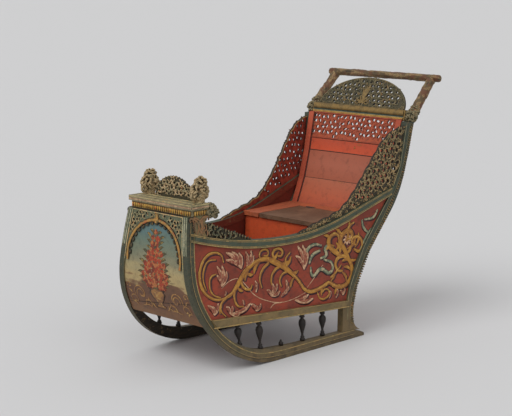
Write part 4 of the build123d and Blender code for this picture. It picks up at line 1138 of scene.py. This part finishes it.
def arc_between(first, middle, last, count):
    """Points on the arc through three points."""
    a, b, c = Vector(first), Vector(middle), Vector(last)
    turn = 2 * (a.x * (b.y - c.y) + b.x * (c.y - a.y) + c.x * (a.y - b.y))
    x = (a.length_squared * (b.y - c.y) + b.length_squared * (c.y - a.y)
         + c.length_squared * (a.y - b.y)) / turn
    y = (a.length_squared * (c.x - b.x) + b.length_squared * (a.x - c.x)
         + c.length_squared * (b.x - a.x)) / turn
    centre = Vector((x, y))
    spokes = [math.atan2(*(point - centre).yx) for point in (a, b, c)]
    for number in (1, 2):
        while spokes[number] - spokes[number - 1] > math.pi:
            spokes[number] -= 2 * math.pi
        while spokes[number] - spokes[number - 1] < -math.pi:
            spokes[number] += 2 * math.pi
    radius = (a - centre).length
    return [(x + radius * math.cos(spokes[0] + (spokes[2] - spokes[0]) * step / count),
             y + radius * math.sin(spokes[0] + (spokes[2] - spokes[0]) * step / count))
            for step in range(count + 1)]


def arc_from(start, end, heading, count):
    """Points on the arc that leaves start with a heading, after its start."""
    centre, radius, _ = tangent_arc(start, end, heading)
    middle = ((Vector(start) + Vector(end)) / 2 - centre).normalized() * abs(radius) + centre
    return arc_between(start, middle, end, count)[1:]


rail_under = arc_between((960, 542), (640, 476), (390, 470), 8)
rail_under += arc_from((390, 470), (105, 522), (-1, 0.054), 4) + [(0, 557), (-150, 607)]
rail_over = [(-150, 639), (0, 591), (107, 557)]
rail_over += arc_from((107, 557), (415, 500), (0.95, -0.31), 4)
rail_over += arc_between((415, 500), (650, 511), (960, 575), 6)[1:]


def moved(points, rise):
    """Points moved up."""
    return [(u, v + rise) for u, v in points]


POST_FRONT = [(-227, 915), (-199, 734), (-145, 608), (11, 403), (100, 230), (113, 177), (114, 120),
              (116, 60)]
POST_REAR = [(-268, 915), (-252, 814), (-222, 680), (-129, 507), (-28, 378), (50, 230), (79, 130),
             (72, 66)]
rail_lines = [stroke(moved(rail_under, 3), 2.4), stroke(moved(rail_under, 8), 1.1),
              stroke(moved(rail_over, -2), 1.8),
              stroke(moved(rail_over, -7), 1.2), stroke([(110, 149), (500, 172.5), (890, 196)], 3),
              stroke([(110, 174), (500, 199), (890, 226)], 1.6)]


def runner_line(inset):
    """A line inside the runner's outer edge, from the bow's head to the tail."""
    edge = [Vector((bow_station(v), v)) for v in range(630, 8, -14)]
    edge += [Vector((545 - 40 * step, 0.5)) for step in range(1, 14)]
    points = []
    for before, here, after in zip(edge, edge[1:], edge[2:]):
        way = (after - before).normalized()
        points.append((here.x + way.y * inset, here.y - way.x * inset))
    return points


runner_grooves = [stroke(runner_line(13), 1.5)]
runner_lights = [stroke(runner_line(17), 1.2), stroke(runner_line(35), 2.4)]
for side, turn in SIDES:
    carve("rail_mouldings_" + side, rail_lines, on_side(turn, 8), 0.7, "gold_line", "painted_framing",
          rings=2, steps=6)
    carve("runner_grooves_" + side, runner_grooves, on_side(turn, -0.5), 0.5, "dark_marks_and_shade",
          "painted_framing", rings=2)
    carve("runner_lines_" + side, runner_lights, on_side(turn, -0.5), 0.7, "gold_line",
          "painted_framing", rings=2)
    front_line, rear_line = band(POST_FRONT, POST_REAR, 0.56, 1.0, 0, 1, 84)
    knots = [stroke([start, start.lerp(end, 0.5), end], 3.4, dice.uniform(4.0, 6.0), dice.uniform(3.4, 4.6))
             for start, end in zip(front_line, rear_line[1:])]
    carve("post_carving_" + side, knots, on_side(turn, 2), 0.9, "post_carving")
    front_line, rear_line = band(POST_FRONT, POST_REAR, 0.07, 0.55, 0, 0.97, 40)
    carve("post_lines_" + side, [stroke(front_line, 1.5), stroke(rear_line, 1.2)], on_side(turn, 2.6),
          0.6, "cream_line", "painted_framing")
    corner = clump((840, 651, 0), (28, 27, 17), 56, 5.4, dice)
    corner += clump((815, 640, 0), (15, 15, 12), 20, 4.5, dice)
    corner += [stroke([(862, 640), (838, 652), (814, 641)], 15, 17, 9),
               volute((815, 628), 12, 60, -1.1, 4.5)]
    carve("scroll_carving_" + side, corner, on_side(turn, -9), 1.0, "dark_clump",
          relief=swell(((840, 651, 0), (30, 30, 19))), stands_for="side_scroll_" + side)
    bracket = [curl((905 + u, 560 + v), (905 + u * 1.5, 632), 7, -1 if u < 0 else 1)
               for u, v in ((-16, 6), (-6, 0), (8, 0), (20, 8))]
    bracket += [volute((893, 590), 18, 90, 1.3, 5), petal((910, 556), (900, 628), 7, 0.2),
                petal((930, 566), (922, 632), 7, -0.1), petal((885, 548), (880, 590), 7, 0.2)]
    bracket += foliage(scatter([(876, 552), (944, 556), (944, 634), (870, 634)], 15, dice, 6), 3.5, 15, 2.4,
                       dice)
    carve("bracket_carving_" + side, bracket, on_side(turn, 4), 0.8, "bracket_brown")

# The back: pierced band, moulded rail and knobs
SCREEN_LOW = Vector((-0.202 - ORIGIN_STATION, 0, 0.812))
SCREEN_HIGH = Vector((-0.236 - ORIGIN_STATION, 0, 0.930))
screen_rise = (SCREEN_HIGH - SCREEN_LOW).normalized()
screen_out = Vector((screen_rise.z, 0, -screen_rise.x))
screen_face = on_plane(SCREEN_LOW, (0, 1, 0), screen_rise, screen_out)
screen_width = side_half_width(-0.22, 0.87) * 1000 - 29
SCREEN_HEIGHT = 122
screen_outline = [(-screen_width, 0), (screen_width, 0), (screen_width, SCREEN_HEIGHT),
                  (-screen_width, SCREEN_HEIGHT)]
SCREEN_PITCH = 27
screen_places = scatter(screen_outline, SCREEN_PITCH, dice, 13, 0.22)
pierced("screen_board", screen_outline, openings(screen_outline, screen_places, 8.8, dice),
        screen_face, -9, -1, "screen_board", stands_for="back_screen")
carve("screen_leaves", foliage([place for place in screen_places if room(place, screen_outline) > 14],
                               8.6, SCREEN_PITCH, 2.3, dice, 4),
      lifted(screen_face, -1), 0.9, "screen_carving")
edges = [stroke([(-screen_width, v), (0, v), (screen_width, v)], width)
         for v, width in ((3, 3), (SCREEN_HEIGHT - 3, 3.5))]
carve("screen_edges", edges, screen_face, 0.9, "screen_carving")

BACK_FACE = [(384, 20), (500, -80), (634, -146), (757, -188), (812, -202), (930, -236)]


def back_station(height):
    """Station of the back boards' front at a height, in millimetres."""
    for (low, first), (high, second) in zip(BACK_FACE, BACK_FACE[1:]):
        if height <= high or high == BACK_FACE[-1][0]:
            return first + (second - first) * (height - low) / (high - low)


def on_back(lift):
    """Lay a sheet of left-to-right places and heights on the front of the back boards."""
    def lay(u, v, w):
        return Vector(((back_station(v) + lift + w) / 1000 - ORIGIN_STATION, u / 1000, v / 1000))
    return lay


def back_half_width(height):
    """Half the width of the back boards at a height, in millimetres."""
    return side_half_width(back_station(height) / 1000, height / 1000) * 1000 - 28


gaps_and_batten_shade = [stroke([(-back_half_width(v), v), (0, v + 0.8), (back_half_width(v), v)], width)
        for v, width in ((634, 1.5), (757, 2.4), (810, 1.2))]
# Painted shade: a dark stroke along the inner edge of each batten, where it stands proud of the boards; the
# level strokes above are the boards' joints
gaps_and_batten_shade += [stroke([(turn * (back_half_width(v) - 28.5), v) for v in (505, 570, 634, 695, 757, 812, 926)],
                3.2) for turn in (-1, 1)]
carve("back_gaps_and_shade", gaps_and_batten_shade, on_back(-0.4), 0.5, "dark_marks_and_shade", "painted_boards")
levels = (505, 570, 634, 695, 757, 812, 870, 926)
for side, turn in SIDES:
    outline = [(turn * back_half_width(v), v) for v in levels]
    outline += [(turn * (back_half_width(v) - 27), v) for v in reversed(levels)]
    pierced("back_batten_" + side, outline, [], on_back(0), 0.5, 9, "batten_red", "painted_boards")
spots = [stroke([(30, 786), (36, 787)], 5.5), stroke([(40, 801), (62, 800), (78, 802)], 0.5, 1.2, 0.4),
         stroke([(10, 712), (13, 711)], 1.6), stroke([(-20, 631), (10, 630)], 0.6, 1.2, 0.5)]
carve("back_spots", spots, on_back(0), 0.15, "ochre_paint", "painted_boards")

RAIL_LEAN = math.radians(11)
rail_out = Vector((math.cos(RAIL_LEAN), 0, math.sin(RAIL_LEAN)))
rail_up = Vector((-math.sin(RAIL_LEAN), 0, math.cos(RAIL_LEAN)))
rail_middle = Vector(BACK_RAIL_AT)
RAIL_DEPTH = 45
rail_face = on_plane(rail_middle + rail_out * (RAIL_DEPTH / 2000), (0, 1, 0), rail_up, rail_out)
pierced("rail_core", [(-270, -23), (270, -23), (270, 23), (-270, 23)], [], rail_face, -RAIL_DEPTH, -1,
        "rail_gold", "painted_framing", "back_rail")
for label, v, width, depth, look in (("torus", 10, 13, 0.4, "rail_gold"),
                                     ("line", -5.5, 2.6, 0.3, "rail_teal"),
                                     ("fillet", -10, 1.5, 0.6, "cream_line"),
                                     ("gold", -17, 6, 0.7, "rail_yellow")):
    carve("back_rail_" + label, [stroke([(u, v) for u in range(-264, 266, 33)], width)], rail_face, depth,
          look, "painted_framing", rings=3)
carve("back_rail_rear", [stroke([(-264, v), (0, v), (264, v)], 8) for v in (-14, 0, 14)],
      lifted(rail_face, -RAIL_DEPTH), 0.3, "rail_gold", "painted_framing", rings=2)
for side, turn in SIDES:
    middle = (turn * 289, 0, -23)
    knob = clump(middle, (27, 26, 26), 70, 5.2, dice)
    knob.append([(turn * 276, 0, -23, 20), (turn * 289, 0, -23, 22), (turn * 302, 0, -23, 18)])
    carve("rail_knob_" + side, knob, rail_face, 1.0, "dark_clump", relief=swell((middle, (29, 28, 28))))


# The push handle: two gnarled poles and a cross bar, left as grown

BARK_SIDES = 28


def gnarled(name, start, end, widths, twist, node_name, rings=96):
    """An uneven round pole whose bark ridges stay within its widths."""
    start, end = Vector(start), Vector(end)
    way = (end - start).normalized()
    right = way.cross(Vector((0.3, 0.2, 1))).normalized()
    up = right.cross(way)
    shape = bmesh.new()
    crown = shape.verts.layers.float.new("crown")
    loops = []
    for ring in range(rings + 1):
        share = ring / rings
        loop = []
        for step in range(BARK_SIDES):
            angle = 2 * math.pi * step / BARK_SIDES
            side = right * math.cos(angle) + up * math.sin(angle)
            middle = start.lerp(end, share)
            spot = middle * 22 + side * 0.9
            rough = noise.noise(spot) * 0.6 + noise.noise(spot * 2.7) * 0.5
            ridge = 1 - abs(math.sin(1.5 * angle + twist * share + 2.2 * rough))
            level = min(max(0.45 + rough * 0.7 + ridge * 0.35, 0), 1)
            rounding = math.sqrt(max(1 - max(0, 1 - min(share, 1 - share) * rings / 2.5) ** 2, 0.02))
            reach = (widths[0] + (widths[1] - widths[0]) * share) * (0.76 + 0.24 * level) * rounding
            vertex = shape.verts.new(middle + side * reach)
            # High on bark ridges and low in furrows: it sets a painted highlight on the ridges and painted
            # shade in the furrows
            vertex[crown] = min(0.3 + level, 1)
            loop.append(vertex)
        loops.append(loop)
    for first, second in zip(loops, loops[1:]):
        for step in range(BARK_SIDES):
            after = (step + 1) % BARK_SIDES
            shape.faces.new((first[step], first[after], second[after], second[step]))
    shape.faces.new(reversed(loops[0]))
    shape.faces.new(loops[-1])
    bmesh.ops.recalc_face_normals(shape, faces=shape.faces)
    mesh = bpy.data.meshes.new(name)
    shape.to_mesh(mesh)
    shape.free()
    add_piece(name, mesh, "bark", "handle_wood", stands_for=node_name)


BAR_AT = Vector((-0.430 - ORIGIN_STATION, 0, 1.1))
BAR_HALF = Vector((0, 0.3285, 0))
BAR_RADII = (0.018, 0.018)
POLE_FOOT_Y = 0.292
POLE_HEAD_Y = 0.280
POLE_RADII = (0.023, 0.021)
gnarled("gnarled_bar", BAR_AT - BAR_HALF, BAR_AT + BAR_HALF, BAR_RADII, 9, "handle_bar", rings=120)
for side, turn in SIDES:
    foot = rail_middle + Vector((0, turn * POLE_FOOT_Y, 0))
    head = BAR_AT + Vector((0, turn * POLE_HEAD_Y, 0))
    gnarled("gnarled_pole_" + side, foot, head + (foot - head) * 0.03, POLE_RADII, 16 * turn,
            "handle_arm_" + side)
    pole = on_plane(foot.lerp(head, 0.14), (1, 0, 0), (0, 1, 0), (0, 0, 1))
    sheath = clump((0, 0, 0), (22, 22, 24), 40, 4.6, dice)
    carve("pole_foot_" + side, sheath, pole, 1.0, "dark_clump", relief=swell(((0, 0, 0), (24, 24, 26))))


# Spindles turned on the axes of the CAD ones

def turning(name, node_name):
    """Turned spindles that stand where a node's solids stand, a broken one cut short."""
    solids = {}
    for vertex in nodes[node_name].data.vertices:
        spot = nodes[node_name].matrix_world @ vertex.co
        key = min(SPINDLE_STATIONS, key=lambda station: abs(station - ORIGIN_STATION - spot.x))
        solids.setdefault(key, []).append(spot)
    shape = bmesh.new()
    for spots in solids.values():
        low, high = min(spot.z for spot in spots), max(spot.z for spot in spots)
        ends = []
        for level in (low, high):
            near = [spot for spot in spots if abs(spot.z - level) < 0.004]
            ends.append(sum(near, Vector()) / len(near))
        foot, head = ends
        way = head - foot
        profile = STUMP if way.length < BROKEN_BELOW else SPINDLE
        right = way.cross(Vector((0, 1, 0))).normalized()
        line = [shape.verts.new(foot + way * share + right * radius) for share, radius in profile]
        edges = [shape.edges.new(pair) for pair in zip(line, line[1:])]
        bmesh.ops.spin(shape, geom=line + edges, cent=foot, axis=way.normalized(), angle=2 * math.pi,
                       steps=SPINDLE_SIDES, use_merge=True)
    bmesh.ops.remove_doubles(shape, verts=shape.verts, dist=0.00001)
    bmesh.ops.holes_fill(shape, edges=shape.edges)
    bmesh.ops.recalc_face_normals(shape, faces=shape.faces)
    mesh = bpy.data.meshes.new(name)
    shape.to_mesh(mesh)
    shape.free()
    add_piece(name, mesh, "dark_paint_and_shade_turning", "dark_turning", stands_for=node_name)


SPINDLE_STATIONS = (0.255, 0.379, 0.510, 0.630, 0.750)
SPINDLE_SIDES = 18
BROKEN_BELOW = 0.07

# Profiles: shares of the length, with radii
SPINDLE = [(0, 0.011), (0.08, 0.011), (0.11, 0.007), (0.14, 0.0095), (0.17, 0.006), (0.24, 0.0048),
           (0.34, 0.0068), (0.46, 0.0112), (0.58, 0.0148), (0.68, 0.0156), (0.76, 0.0134), (0.82, 0.0074),
           (0.85, 0.0062), (0.87, 0.0112), (0.91, 0.0118), (0.93, 0.0085), (0.95, 0.0108), (1, 0.0112)]
STUMP = [(0, 0.010), (0.35, 0.010), (0.5, 0.0095), (0.62, 0.006), (0.8, 0.0048), (1, 0.0015)]
for side, _ in SIDES:
    turning("turned_spindles_" + side, "spindles_" + side)


# Stage: floor, light and camera

def make_floor():
    """A pale floor that runs on to the horizon."""
    mesh = bpy.data.meshes.new("floor")
    shape = bmesh.new()
    bmesh.ops.create_grid(shape, x_segments=2, y_segments=2, size=150)
    shape.to_mesh(mesh)
    shape.free()
    floor = bpy.data.objects.new("floor", mesh)
    bpy.context.collection.objects.link(floor)
    material = bpy.data.materials.new("stage_grey")
    material.use_nodes = True
    shader = material.node_tree.nodes["Principled BSDF"]
    shader.inputs["Base Color"].default_value = srgb(206, 206, 207)
    shader.inputs["Roughness"].default_value = 0.9
    mesh.materials.append(material)


def make_sun(name, bearing, rise, spread, strength):
    """A broad soft light from a bearing and a height."""
    lamp = bpy.data.lights.new(name, "SUN")
    lamp.angle = math.radians(spread)
    lamp.energy = strength
    place = bpy.data.objects.new(name, lamp)
    bearing, rise = math.radians(bearing), math.radians(rise)
    way = Vector((math.cos(rise) * math.cos(bearing), math.cos(rise) * math.sin(bearing),
                  math.sin(rise)))
    place.rotation_euler = way.to_track_quat("Z", "Y").to_euler()
    bpy.context.collection.objects.link(place)


def make_camera():
    """The photograph's view."""
    lens = bpy.data.cameras.new("camera")
    lens.lens = LENS_MM
    lens.sensor_width = SENSOR_MM
    lens.sensor_fit = "HORIZONTAL"
    camera = bpy.data.objects.new("camera", lens)
    way = Vector((math.cos(CAMERA_RISE) * math.cos(CAMERA_BEARING),
                  math.cos(CAMERA_RISE) * math.sin(CAMERA_BEARING), math.sin(CAMERA_RISE)))
    camera.location = CAMERA_AIM + way * CAMERA_REACH
    camera.rotation_euler = way.to_track_quat("Z", "Y").to_euler()
    bpy.context.collection.objects.link(camera)
    bpy.context.scene.camera = camera


make_floor()
make_sun("key", 0, 48, 40, 1.5)
make_sun("fill", 70, 30, 60, 0.6)
make_camera()

scene = bpy.context.scene
scene.view_settings.view_transform = "Standard"
world = bpy.data.worlds.new("studio")
world.use_nodes = True
sky = world.node_tree
light = sky.nodes["Background"]
light.inputs["Color"].default_value = (1, 1, 1, 1)
light.inputs["Strength"].default_value = 0.55
seen = put(sky, "ShaderNodeBackground", {"Color": srgb(201, 201, 202), "Strength": 1.0})
either = put(sky, "ShaderNodeMixShader")
sky.links.new(put(sky, "ShaderNodeLightPath").outputs["Is Camera Ray"], either.inputs[0])
sky.links.new(light.outputs[0], either.inputs[1])
sky.links.new(seen.outputs[0], either.inputs[2])
sky.links.new(either.outputs[0], sky.nodes["World Output"].inputs["Surface"])
scene.world = world
